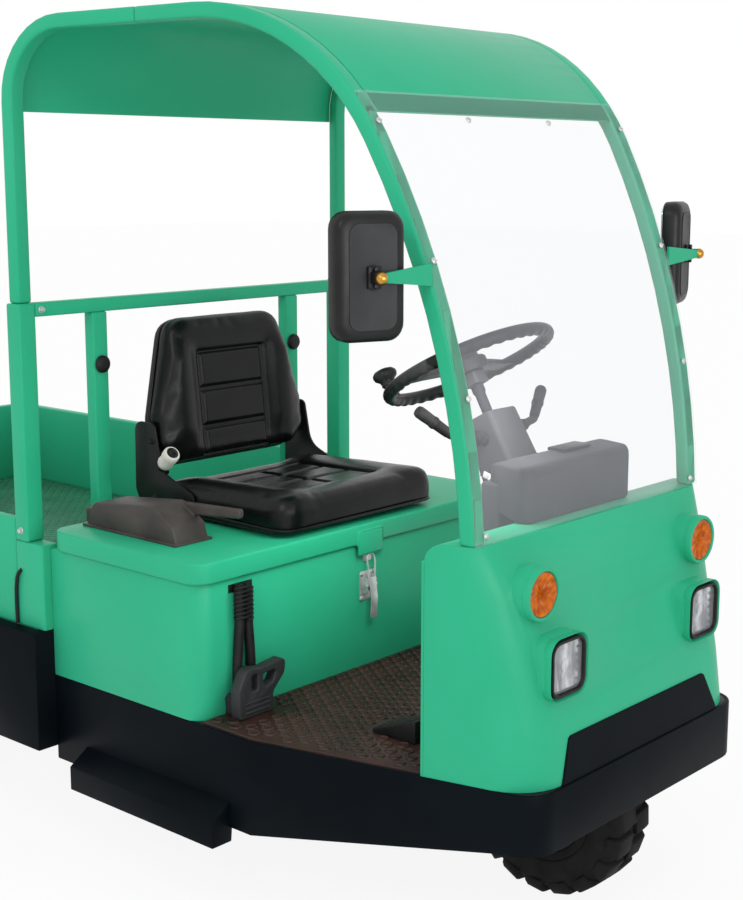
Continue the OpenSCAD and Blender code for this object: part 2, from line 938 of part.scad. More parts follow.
module rear_hoops() color("#4cb492") {
    split_x = front_x - hoop_split;
    both_sides()
        intersection() {
            along_y(cab_w)
                polygon(concat([[split_x, hoop_top]], rear_line(0),
                    [[post_x - hoop_d / 2, bar_top], [post_x + hoop_d / 2, bar_top]],
                    backwards(rear_line(hoop_d)), [[split_x, hoop_top - hoop_d]]));
            hoop_plan(-hoop_w / 2, hoop_w / 2);
        }
}

module roof() color("#4cb492") {
    end_z = bend_c.y - roof_rear_drop;
    intersection() {
        along_y(cab_w)
            polygon(concat(
                brow_line(0, ROOF_FIRST_STEP, BROW_STEPS),
                rear_line(0),
                [[bend_c.x - bend_r, end_z], [bend_c.x - bend_r + roof_t, end_z]],
                backwards(rear_line(roof_t)),
                backwards(brow_line(roof_t, ROOF_FIRST_STEP, BROW_STEPS))));
        cab_plan(-hoop_w / 2);
    }
}

module windshield() color("#c8d2d4", 0.35) {
    intersection() {
        along_y(cab_w)
            difference() {
                polygon(concat(glass_line(-glass_t), backwards(glass_line(0))));
                translate([0, nose_top - hoop_d])
                    square([front_x, hoop_d]);
            }
        cab_plan(hoop_w / 2 - 4);
    }
}

module guard_posts() color("#4cb492") {
    both_sides()
        block(post_x - post_w / 2, guard_x, post_y - post_w / 2, post_y + post_w / 2, post_foot, bar_top);
}

module guard_bar() color("#4cb492") {
    inner = post_y - post_w / 2;
    block(guard_x - bar_d, guard_x, -inner, inner, bar_top - bar_h, bar_top);
}

module guard_uprights() color("#4cb492") {
    both_sides()
        block(guard_x - bar_d, guard_x, upright_y - upright_w / 2, upright_y + upright_w / 2,
            bed_floor_z, bar_top - bar_h);
}

module lid_buffers() color("#151617") {
    both_sides()
        translate([0, upright_y, buffer_z])
            pin_x(buffer_r, guard_x, guard_x + buffer_l);
}

// Places its children at the ball of the left mirror, with +X square out of the mirror's back
module at_mirror() {
    translate([front_x - mirror_setback, mirror_y, mirror_z])
        rotate([0, 0, mirror_yaw])
            children();
}
function mirror_ring(x, inset) =
    [for (p = rounded_box(-mirror_w / 2 + inset, mirror_w / 2 - inset,
        -mirror_h / 2 + inset, mirror_h / 2 - inset, mirror_r - inset / 2))
        [x, p.x, p.y]];

module mirror_arms() color("#38b080") {
    x1 = front_x - mirror_setback;
    both_sides() {
        difference() {
            along_x(arm_t, x1 - arm_t / 2)
                polygon([
                    [hoop_y(x1), mirror_z - arm_root / 2],
                    [mirror_y, mirror_z - arm_tip / 2],
                    [mirror_y, mirror_z + arm_tip / 2],
                    [hoop_y(x1), mirror_z + arm_root / 2]]);
            hoop_plan(-hoop_w, hoop_w / 2);
        }
        at_mirror() {
            sphere(ball_r);
            pin_x(stud_r, -stud_l, 0);
        }
    }
}

module mirror_housings() color("#17181a") {
    both_sides()
        at_mirror()
            skin([
                mirror_ring(-stud_l, mirror_back),
                mirror_ring(-stud_l - mirror_back / 3, mirror_back / 3),
                mirror_ring(-stud_l - mirror_back, 0),
                mirror_ring(-stud_l - mirror_d, 0)]);
}

module mirror_glass() color("#c9d3d8") {
    both_sides()
        at_mirror()
            along_x(mirror_glass_t, -stud_l - mirror_d - mirror_glass_t)
                polygon(rounded_box(-mirror_w / 2 + mirror_lip, mirror_w / 2 - mirror_lip,
                    -mirror_h / 2 + mirror_lip, mirror_h / 2 - mirror_lip, mirror_r - mirror_lip));
}

module headlamps() color("#1b1d1f") {
    both_sides()
        along_x(lamp_d, front_x - cup_setback)
            polygon(rounded_box(lamp_y - lamp_w / 2, lamp_y + lamp_w / 2,
                lamp_z - lamp_w / 2, lamp_z + lamp_w / 2, lamp_r));
}

module headlamp_lenses() color("#e6ecee") {
    both_sides()
        along_x(lens_t, front_x - cup_setback + lamp_d)
            polygon(rounded_box(lamp_y - lamp_w / 2 + 8, lamp_y + lamp_w / 2 - 8,
                lamp_z - lamp_w / 2 + 8, lamp_z + lamp_w / 2 - 8, lamp_r - 6));
}

module indicators() color("#e58a1c") {
    both_sides()
        translate([0, indicator_y, indicator_z])
            pin_x(indicator_r, front_x - indicator_setback, front_x - indicator_setback + indicator_d);
}

// Folded step below the band, open towards the chassis
module steps() color("#22282c") {
    outer = cab_hw + step_reach;
    both_sides()
        along_x(step_l, box_front_x + step_front - step_l)
            polygon([
                [cab_hw, step_top],
                [outer, step_edge],
                [outer, step_foot],
                [outer - step_flange, step_foot],
                [outer - step_flange, step_foot + step_t],
                [outer - step_t, step_foot + step_t],
                [outer - step_t, step_edge - step_t / 2],
                [cab_hw, step_top - 1.5 * step_t]]);
}

// Black skirt round the load bed, with the wheel arches
module rear_skirt() color("#22282c") {
    arch_foot = tyre_r + 60 + (arch_top - skirt_clear) * arch_lead;
    difference() {
        block(bed_rear_x, cab_rear_x, -skirt_hw, skirt_hw, skirt_clear, bed_floor_z);
        block(bed_rear_x + skirt_t, cab_rear_x - skirt_t, -skirt_hw + skirt_t, skirt_hw - skirt_t,
            skirt_clear - eps, bed_floor_z + eps);
        along_y(3 * skirt_hw)
            polygon([
                [axle_r_x - arch_foot, skirt_clear - eps],
                [axle_r_x + arch_foot, skirt_clear - eps],
                [axle_r_x + tyre_r + 60, arch_top],
                [axle_r_x - tyre_r - 60, arch_top]]);
    }
}

module chassis_rails() color("#22282c") {
    both_sides()
        block(bed_rear_x + skirt_t, cab_rear_x - skirt_t, rail_y - rail_w / 2, rail_y + rail_w / 2,
            bed_floor_z - bed_floor_t - rail_h, bed_floor_z - bed_floor_t);
}

module bed_floor() color("#1f5c46") {
    inner = skirt_hw - skirt_t;
    block(bed_rear_x + skirt_t, cab_rear_x - skirt_t, -inner, inner, bed_floor_z - bed_floor_t, bed_floor_z);
}

// Tread plate between the bed walls
module bed_plate() color("#1f5c46") {
    inner = bed_hw - wall_t - bed_plate_gap;
    block(bed_rear_x + wall_t + bed_plate_gap, post_x - post_w / 2 - bed_plate_gap, -inner, inner,
        bed_floor_z, bed_floor_z + bed_plate_t);
}

module bed_walls() color("#4cb492") {
    both_sides()
        block(bed_rear_x + wall_t, post_x - post_w / 2, bed_hw - wall_t, bed_hw, bed_floor_z, wall_top);
}

// Boxed front corners of the bed, which carry the guard posts
module bed_corners() color("#4cb492") {
    both_sides()
        block(post_x - post_w / 2, cab_rear_x, bed_hw - post_w, bed_hw, bed_floor_z, post_foot);
}

module tailgate() color("#4cb492") {
    block(bed_rear_x, bed_rear_x + wall_t, -bed_hw, bed_hw, bed_floor_z, wall_top);
}

module tow_hitch() color("#2a2d2f") {
    half = jaw_h / 2;
    difference() {
        block(-front_x, bed_rear_x, -jaw_hw, jaw_hw, hitch_z - half - jaw_cheek, hitch_z + half + jaw_cheek);
        block(-front_x - eps, bed_rear_x - jaw_back, -jaw_hw - eps, jaw_hw + eps,
            hitch_z - half, hitch_z + half);
        translate([-front_x + jaw_pin, 0, 0])
            cylinder(r = hitch_pin_r, h = 2 * hitch_z);
    }
}

module rear_lamps() color("#b3201c") {
    both_sides()
        translate([0, skirt_hw - skirt_t - 60, (skirt_clear + bed_floor_z) / 2])
            pin_x(rear_lamp_r, bed_rear_x - rear_lamp_t, bed_rear_x);
}

module rear_axle() color("#303436") {
    rail_z = bed_floor_z - bed_floor_t - rail_h;
    translate([axle_r_x, 0, tyre_r]) {
        pin_y(axle_tube_r, -track_hw + tyre_w / 2 + 8, track_hw - tyre_w / 2 - 8);
        pin_y(stub_r, -track_hw - 20, track_hw + 20);
        pin_y(gear_r, -gear_w / 2, gear_w / 2);
        pin_x(motor_r, 0, motor_l);
    }
    both_sides()
        block(axle_r_x - saddle_l / 2, axle_r_x + saddle_l / 2, rail_y - spring_w / 2, rail_y + spring_w / 2,
            tyre_r, rail_z - spring_sag - spring_t);
}

// Leaf springs that hang the axle from the rails
module leaf_springs() color("#2b2e30") {
    rail_z = bed_floor_z - bed_floor_t - rail_h;
    r = (spring_l * spring_l / 4 + spring_sag * spring_sag) / (2 * spring_sag);
    centre = [axle_r_x, rail_z - spring_sag + r];
    halves = [for (l = LEAF_LENGTHS) asin(l / 2 / r)];
    last = len(halves) - 1;
    both_sides() {
        along_y(spring_w, rail_y)
            polygon(concat(
                arc(centre, r, 270 - halves[0], 270 + halves[0], 12),
                [for (k = [0:last - 1])
                    each arc(centre, r + (k + 1) * leaf_t, 270 + halves[k], 270 + halves[k + 1], 4)],
                arc(centre, r + (last + 1) * leaf_t, 270 + halves[last], 270 - halves[last], 6),
                [for (k = [last - 1:-1:0])
                    each arc(centre, r + (k + 1) * leaf_t, 270 - halves[k + 1], 270 - halves[k], 4)]));
        for (s = [-1, 1])
            translate([axle_r_x + s * (spring_l / 2 - shackle_l / 2), rail_y, rail_z - shackle_h])
                block(-shackle_l / 2, shackle_l / 2, -spring_w / 2, spring_w / 2, 0, shackle_h);
    }
}

// Fork that steers the front wheel
module steer_fork() color("#303436") {
    translate([steer_x, 0, 0]) {
        cylinder_z0 = crown_z + crown_h;
        translate([0, 0, cylinder_z0])
            cylinder(r = king_r, h = house_top + head_h - cylinder_z0);
        block(-trail - fork_w / 2, fork_w / 2, -fork_gap - fork_t, fork_gap + fork_t,
            crown_z, crown_z + crown_h);
        both_sides()
            along_y(fork_t, fork_gap + fork_t / 2)
                polygon([
                    [-trail - fork_w / 2, tyre_r],
                    [-trail - fork_w / 4, tyre_r - fork_w / 2],
                    [-trail + fork_w / 4, tyre_r - fork_w / 2],
                    [-trail + fork_w / 2, tyre_r],
                    [fork_w / 2, crown_z],
                    [-trail - fork_w / 2, crown_z]]);
        translate([-trail, 0, tyre_r])
            pin_y(axle_pin_r, -fork_gap - fork_t - 10, fork_gap + fork_t + 10);
    }
}

// Tyre in its own frame: axle along Y, middle at the origin
module tyre() {
    w = tyre_w / 2;
    rotate([90, 0, 0])
        rotate_extrude($fn = 96)
            polygon([
                [bead_r, -w + 14],
                [bead_r + 16, -w + 6],
                [tyre_r - 56, -w],
                [tyre_r - 18, -w + 5],
                [tyre_r, -w + 18],
                [tyre_r, w - 18],
                [tyre_r - 18, w - 5],
                [tyre_r - 56, w],
                [bead_r + 16, w - 6],
                [bead_r, w - 14]]);
}

// Rim with its disc and a hub bored for a pin of radius r
module rim(r, hub_w) {
    w = tyre_w / 2 - 14;
    rotate([90, 0, 0])
        rotate_extrude($fn = 96)
            polygon([
                [r + pin_clear, -hub_w],
                [hub_r + r / 2, -hub_w],
                [hub_r + r / 2, -8],
                [bead_r - 10, -8],
                [bead_r - 10, -w],
                [bead_r - pin_clear, -w],
                [bead_r - pin_clear, w],
                [bead_r - 10, w],
                [bead_r - 10, 0],
                [hub_r + r / 2, 0],
                [hub_r + r / 2, hub_w],
                [r + pin_clear, hub_w]]);
}

module front_tyre() color("#1a1b1c")
    translate([axle_f_x, 0, tyre_r])
        tyre();

module front_rim() color("#2f3335")
    translate([axle_f_x, 0, tyre_r])
        rim(axle_pin_r, fork_gap);

module rear_tyre_r() color("#1a1b1c")
    translate([axle_r_x, -track_hw, tyre_r])
        tyre();

module rear_rim_r() color("#2f3335")
    translate([axle_r_x, -track_hw, tyre_r])
        rim(stub_r, tyre_w / 2);

module rear_tyre_l() color("#1a1b1c")
    translate([axle_r_x, track_hw, tyre_r])
        tyre();

module rear_rim_l() color("#2f3335")
    translate([axle_r_x, track_hw, tyre_r])
        rim(stub_r, tyre_w / 2);

// Battery connector on the mat with its pull handle
module battery_plug() color("#1b1d1f") {
    side = plug_w / 2;
    z0 = band_top + mat_t;
    z1 = z0 + plug_h;
    translate([0, -plug_y, 0]) {
        along_x(plug_d, box_front_x)
            polygon(rounded([[-side, z0, 0], [side, z0, 0], [side, z1, plug_r], [-side, z1, plug_r]]));
        along_x(handle_t, box_front_x + handle_x)
            difference() {
                polygon(rounded([
                    [-side, z0 + plug_r, plug_r],
                    [side, z0 + plug_r, plug_r],
                    [side + handle_lean, z1 + handle_h, plug_r],
                    [-side + handle_lean, z1 + handle_h - handle_w, plug_r]]));
                polygon(rounded([
                    [-side + handle_w, z1, 0],
                    [side - handle_w / 2, z1, 0],
                    [side + handle_lean - handle_w, z1 + handle_h - handle_w, plug_r / 2],
                    [-side + handle_lean + handle_w, z1 + handle_h - 2 * handle_w, plug_r / 2]]));
            }
    }
}

module battery_leads() color("#151617") {
    for (y = [-plug_y - lead_pitch / 2, -plug_y + lead_pitch / 2])
        translate([box_front_x + lead_r + 0.2, y, band_top + mat_t + plug_h])
            cylinder(r = lead_r, h = box_h - mat_t - plug_h - lead_drop);
}

chassis_band();
floor_plate();
floor_mat();
wheel_house();
nose_cowl();
nose_patch();
bulkhead();
dash();
steering_column();
pedals();
seat_box();
battery();
battery_plug();
battery_leads();
lid_latch();
guard_posts();
guard_bar();
guard_uprights();
lid_buffers();
front_hoops();
rear_hoops();
roof();
windshield();
mirror_arms();
mirror_housings();
mirror_glass();
headlamps();
headlamp_lenses();
indicators();
steps();
rear_skirt();
chassis_rails();
bed_floor();
bed_plate();
bed_walls();
bed_corners();
tailgate();
tow_hitch();
rear_lamps();
rear_axle();
leaf_springs();
steer_fork();
front_tyre();
front_rim();
rear_tyre_r();
rear_rim_r();
rear_tyre_l();
rear_rim_l();
steering_wheel();
seat_lid();
seat_base();
seat_cushion();
seat_back();
seat_brackets();
hand_brake();
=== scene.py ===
# %% [markdown]
# # An electric tow tractor with a weather cab
# The solids of the tractor come from a CAD model and arrive here as a fixed frame.
# Blender adds what a CAD solid lacks: soft edges, paint, vinyl, tread, screws and light.
# Every new piece is made where its solid lies, so nothing has to be fitted by eye.

# %% Load the frame
import math

import bpy
from mathutils import Matrix, Vector
from mathutils.bvhtree import BVHTree


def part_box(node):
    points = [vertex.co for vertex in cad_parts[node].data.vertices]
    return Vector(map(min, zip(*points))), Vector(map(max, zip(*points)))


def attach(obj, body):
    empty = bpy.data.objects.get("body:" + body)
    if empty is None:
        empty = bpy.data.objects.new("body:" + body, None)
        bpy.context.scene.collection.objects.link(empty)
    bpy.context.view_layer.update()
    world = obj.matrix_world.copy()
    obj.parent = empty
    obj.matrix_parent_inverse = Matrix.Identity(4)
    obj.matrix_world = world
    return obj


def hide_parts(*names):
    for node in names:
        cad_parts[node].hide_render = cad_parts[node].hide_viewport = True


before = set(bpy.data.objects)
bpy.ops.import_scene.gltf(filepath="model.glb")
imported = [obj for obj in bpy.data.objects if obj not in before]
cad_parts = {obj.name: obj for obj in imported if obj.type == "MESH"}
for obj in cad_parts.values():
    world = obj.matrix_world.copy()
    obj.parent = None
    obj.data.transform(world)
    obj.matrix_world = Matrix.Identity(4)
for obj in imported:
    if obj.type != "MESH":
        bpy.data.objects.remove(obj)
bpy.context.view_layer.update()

print("CAD nodes:", len(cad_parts))

# %% [markdown]
# ## The camera
# The photograph was taken from the right front corner, a little above the driver's eyes.
# The lens and the two angles were found by fitting the tractor's own straight lines,
# so the camera stands still in the tractor's frame and the picture's edge cuts the rear end off.

# %% Camera
CAMERA_AZIMUTH = 41.59
CAMERA_ELEVATION = 10.32
CAMERA_LENS = 61.43
CAMERA_PLACE = (2.874, -2.463, 1.45)

bpy.ops.object.select_all(action="DESELECT")
bpy.ops.object.camera_add(location=CAMERA_PLACE,
                          rotation=(math.radians(90 - CAMERA_ELEVATION), 0, math.radians(CAMERA_AZIMUTH)))
camera = bpy.context.object
camera.name = "photo_camera"
camera.data.lens = CAMERA_LENS
camera.data.sensor_width = 36
camera.data.clip_end = 60
bpy.context.scene.camera = camera
print("camera at", CAMERA_PLACE)

# %% [markdown]
# ## The bench
# Modelling by hand in Blender is always the same few moves: put everything down, pick one piece up,
# open its mesh, change it, close it, and let a modifier finish it.
# These helpers name those moves, so that the later cells read like a list of work steps.

# %% Handling a piece
def put_down():
    if bpy.context.mode != "OBJECT":
        bpy.ops.object.mode_set(mode="OBJECT")
    bpy.ops.object.select_all(action="DESELECT")


def pick_up(piece):
    put_down()
    piece.select_set(True)
    bpy.context.view_layer.objects.active = piece


def open_mesh(piece):
    pick_up(piece)
    bpy.ops.object.mode_set(mode="EDIT")
    bpy.ops.mesh.select_mode(type="VERT")
    bpy.ops.mesh.select_all(action="SELECT")


def face_out(piece):
    open_mesh(piece)
    bpy.ops.mesh.normals_make_consistent(inside=False)
    put_down()


def use_modifier(piece, kind, **settings):
    pick_up(piece)
    bpy.ops.object.modifier_add(type=kind)
    modifier = piece.modifiers[-1]
    for key, value in settings.items():
        setattr(modifier, key, value)
    bpy.ops.object.modifier_apply(modifier=modifier.name)


def soften(piece, width, segments=2, angle=32):
    use_modifier(piece, "BEVEL", width=width, segments=segments, limit_method="ANGLE",
                 angle_limit=math.radians(angle), use_clamp_overlap=False)
    return piece


def shade(piece, angle=38):
    pick_up(piece)
    bpy.ops.object.shade_smooth_by_angle(angle=math.radians(angle))
    return piece


def place(piece, matrix):
    piece.matrix_world = matrix
    pick_up(piece)
    bpy.ops.object.transform_apply(location=True, rotation=True, scale=True)
    return piece


def named(name):
    piece = bpy.context.object
    piece.name = name
    piece.data.name = name
    return piece


def weld(pieces, name):
    put_down()
    for piece in pieces:
        piece.select_set(True)
    bpy.context.view_layer.objects.active = pieces[0]
    if len(pieces) > 1:
        bpy.ops.object.join()
    return named(name)


def copy_at(piece, matrix):
    twin = piece.copy()
    twin.data = piece.data.copy()
    bpy.context.scene.collection.objects.link(twin)
    twin.data.transform(matrix)
    if matrix.is_negative:
        twin.data.flip_normals()
    return twin


def drop(piece):
    bpy.data.objects.remove(piece)


# %% Places and directions
SIDES = (1, -1)
X_WAY = Vector((1, 0, 0))
Y_WAY = Vector((0, 1, 0))
Z_WAY = Vector((0, 0, 1))
MIRROR_Y = Matrix.Scale(-1, 4, Y_WAY)


def shift(x, y, z):
    return Matrix.Translation((x, y, z))


def turn(degrees, axis):
    return Matrix.Rotation(math.radians(degrees), 4, axis)


def axes(x, y, z):
    return Matrix((x, y, z)).transposed().to_4x4()


TO_X = axes((0, 1, 0), (0, 0, 1), (1, 0, 0))
TO_Y = axes((0, 0, 1), (1, 0, 0), (0, 1, 0))
STAND_Y = axes((1, 0, 0), (0, 0, 1), (0, -1, 0))
FLIP_Z = turn(180, "X")


def facing_x(x, y=0, z=0):
    """A place for what is drawn flat in X and Y and has to look forward."""
    return shift(x, y, z) @ TO_X


# %% Drawing tools
def round_off(corners, steps=5):
    """Outline points from corners given as (x, y, radius)."""
    points = []
    for i, (x, y, r) in enumerate(corners):
        p = Vector((x, y))
        if r <= 0:
            points.append(p)
            continue
        u = (Vector(corners[i - 1][:2]) - p).normalized()
        v = (Vector(corners[(i + 1) % len(corners)][:2]) - p).normalized()
        half = u.angle(v) / 2
        centre = p + (u + v).normalized() * r / math.sin(half)
        first = p + u * r / math.tan(half) - centre
        last = p + v * r / math.tan(half) - centre
        sweep = first.angle_signed(last)
        for k in range(steps + 1):
            points.append(centre + Matrix.Rotation(-sweep * k / steps, 2) @ first)
    return points


def round_rect(low, high, radius, steps=5):
    """Outline points of a rectangle between two corners, with round corners."""
    (x0, y0), (x1, y1) = low, high
    return round_off([(x0, y0, radius), (x1, y0, radius), (x1, y1, radius), (x0, y1, radius)], steps)


def draw_line(name, points, face=False):
    """One vertex pulled from point to point, as with the extrude key, and filled if asked."""
    put_down()
    points = [Vector(p).to_3d() for p in points]
    bpy.ops.mesh.primitive_plane_add(size=0.01, location=points[0])
    open_mesh(bpy.context.object)
    bpy.ops.mesh.merge(type="CENTER")
    for here, there in zip(points, points[1:]):
        bpy.ops.mesh.extrude_vertices_move(TRANSFORM_OT_translate={"value": there - here})
    if face:
        bpy.ops.mesh.select_all(action="SELECT")
        bpy.ops.mesh.edge_face_add()
    put_down()
    return named(name)


def settle(piece, matrix):
    """Turns a drawn piece's faces outwards and moves it from the origin to its place."""
    face_out(piece)
    place(piece, Matrix.Translation(piece.location))
    return place(piece, matrix)


def plate(name, outline, thickness, matrix=Matrix()):
    """A flat outline in X and Y, pulled up by its thickness and put in its place."""
    piece = draw_line(name, outline, face=True)
    open_mesh(piece)
    bpy.ops.mesh.extrude_region_move(TRANSFORM_OT_translate={"value": (0, 0, thickness)})
    return settle(piece, matrix)


def lathe(name, profile, matrix=Matrix(), steps=40, unit=0.001):
    """A profile of (radius, height) in millimetres, spun round Z and put in its place."""
    piece = draw_line(name, [(r * unit, 0, h * unit) for r, h in profile])
    open_mesh(piece)
    bpy.ops.mesh.spin(steps=steps, angle=2 * math.pi, center=(0, 0, 0), axis=(0, 0, 1))
    bpy.ops.mesh.select_all(action="SELECT")
    bpy.ops.mesh.remove_doubles(threshold=1e-6)
    return settle(piece, matrix)


def tube(name, points, radius, closed=False, turns=5):
    """A round bar bent along its points."""
    curve = bpy.data.curves.new(name, "CURVE")
    curve.dimensions = "3D"
    curve.bevel_depth = radius
    curve.bevel_resolution = turns - 2
    curve.resolution_u = 6
    curve.use_fill_caps = True
    spline = curve.splines.new("BEZIER")
    spline.bezier_points.add(len(points) - 1)
    for knot, point in zip(spline.bezier_points, points):
        knot.co = point
        knot.handle_left_type = knot.handle_right_type = "AUTO"
    spline.use_cyclic_u = closed
    piece = bpy.data.objects.new(name, curve)
    bpy.context.scene.collection.objects.link(piece)
    pick_up(piece)
    bpy.ops.object.convert(target="MESH")
    return shade(named(name), 60)


def box_piece(name, low, high, edge=0.0, segments=2):
    """A block between two corners, with soft edges."""
    low, high = Vector(low), Vector(high)
    put_down()
    bpy.ops.mesh.primitive_cube_add(size=1, location=(low + high) / 2)
    piece = named(name)
    piece.scale = high - low
    pick_up(piece)
    bpy.ops.object.transform_apply(location=True, rotation=True, scale=True)
    if edge:
        soften(piece, edge, segments)
    return shade(piece)


def from_solid(node, edge=0.0, segments=2, name=None):
    """A copy of a CAD solid with its triangles merged and its sharp edges softened."""
    piece = bpy.data.objects.new(name or "dressed_" + node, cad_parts[node].data.copy())
    bpy.context.scene.collection.objects.link(piece)
    piece.data.materials.clear()
    open_mesh(piece)
    bpy.ops.mesh.customdata_custom_splitnormals_clear()
    bpy.ops.mesh.remove_doubles(threshold=1e-5)
    bpy.ops.mesh.dissolve_limited(angle_limit=math.radians(0.4))
    put_down()
    if edge:
        soften(piece, edge, segments)
    return shade(piece)


# %% Dressing a piece
FINISHES = {}


def dress(piece, finish, *nodes, body="chassis"):
    """Gives a piece its finish, hides the solids it stands for and parents it to the body it moves with."""
    piece.data.materials.clear()
    piece.data.materials.append(FINISHES[finish])
    if nodes:
        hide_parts(*nodes)
    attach(piece, body)
    return piece


def dress_pair(piece, name, finish, *nodes, body="chassis"):
    """Dresses a piece and its mirror image on the other side as one."""
    return dress(weld([piece, copy_at(piece, MIRROR_Y)], name), finish, *nodes, body=body)


print("bench ready")

# %% [markdown]
# ## Finishes
# A paint or a rubber is never one flat colour: it has a slow change of tone, a finer change of gloss
# and a skin that is not quite smooth. Each finish here is built from those three layers of noise,
# at the scale that the real surface shows, and what is the same all over is set on the shader itself.

# %% Finish tools
PLAIN = "ShaderNodeTexNoise"
PEBBLED = "ShaderNodeTexVoronoi"


def srgb(r, g, b):
    def straight(c):
        c /= 255
        return c / 12.92 if c <= 0.04045 else ((c + 0.055) / 1.055) ** 2.4
    return straight(r), straight(g), straight(b), 1.0


def noise(finish, scale, detail=3.0, stretch=(1, 1, 1), kind=PLAIN):
    tree = finish.node_tree
    place_node = tree.nodes.new("ShaderNodeTexCoord")
    mapping = tree.nodes.new("ShaderNodeMapping")
    mapping.inputs["Scale"].default_value = stretch
    texture = tree.nodes.new(kind)
    texture.inputs["Scale"].default_value = scale
    if "Detail" in texture.inputs:
        texture.inputs["Detail"].default_value = detail
    tree.links.new(place_node.outputs["Object"], mapping.inputs["Vector"])
    tree.links.new(mapping.outputs["Vector"], texture.inputs["Vector"])
    return texture.outputs["Fac" if "Fac" in texture.outputs else "Distance"]


def tone(finish, first, second, scale, low=0.35, high=0.65, stretch=(1, 1, 1)):
    tree = finish.node_tree
    ramp = tree.nodes.new("ShaderNodeValToRGB")
    ramp.color_ramp.elements[0].position = low
    ramp.color_ramp.elements[0].color = srgb(*first)
    ramp.color_ramp.elements[1].position = high
    ramp.color_ramp.elements[1].color = srgb(*second)
    tree.links.new(noise(finish, scale, stretch=stretch), ramp.inputs["Fac"])
    tree.links.new(ramp.outputs["Color"], tree.nodes["Principled BSDF"].inputs["Base Color"])


def gloss(finish, low, high, scale):
    tree = finish.node_tree
    span = tree.nodes.new("ShaderNodeMapRange")
    span.inputs["To Min"].default_value = low
    span.inputs["To Max"].default_value = high
    tree.links.new(noise(finish, scale, 5.0), span.inputs["Value"])
    tree.links.new(span.outputs["Result"], tree.nodes["Principled BSDF"].inputs["Roughness"])


def skin(finish, scale, strength, depth, kind=PLAIN, stretch=(1, 1, 1)):
    tree = finish.node_tree
    bump = tree.nodes.new("ShaderNodeBump")
    bump.inputs["Strength"].default_value = strength
    bump.inputs["Distance"].default_value = depth
    tree.links.new(noise(finish, scale, 2.0, stretch, kind), bump.inputs["Height"])
    tree.links.new(bump.outputs["Normal"], tree.nodes["Principled BSDF"].inputs["Normal"])


def new_finish(name, slot, colour, roughness, metallic, shine, tones=(), glosses=(), grain=(), **sockets):
    """A finish with those of the three layers of noise that are given. The slot is not used."""
    finish = bpy.data.materials.new(name)
    finish.use_nodes = True
    FINISHES[name] = finish
    shader = finish.node_tree.nodes["Principled BSDF"]
    shader.inputs["Base Color"].default_value = srgb(*colour)
    shader.inputs["Roughness"].default_value = roughness
    shader.inputs["Metallic"].default_value = metallic
    shader.inputs["Specular IOR Level"].default_value = shine
    for key, value in sockets.items():
        shader.inputs[key.replace("_", " ")].default_value = value
    for layer, values in ((tone, tones), (gloss, glosses), (skin, grain)):
        if values:
            layer(finish, *values)


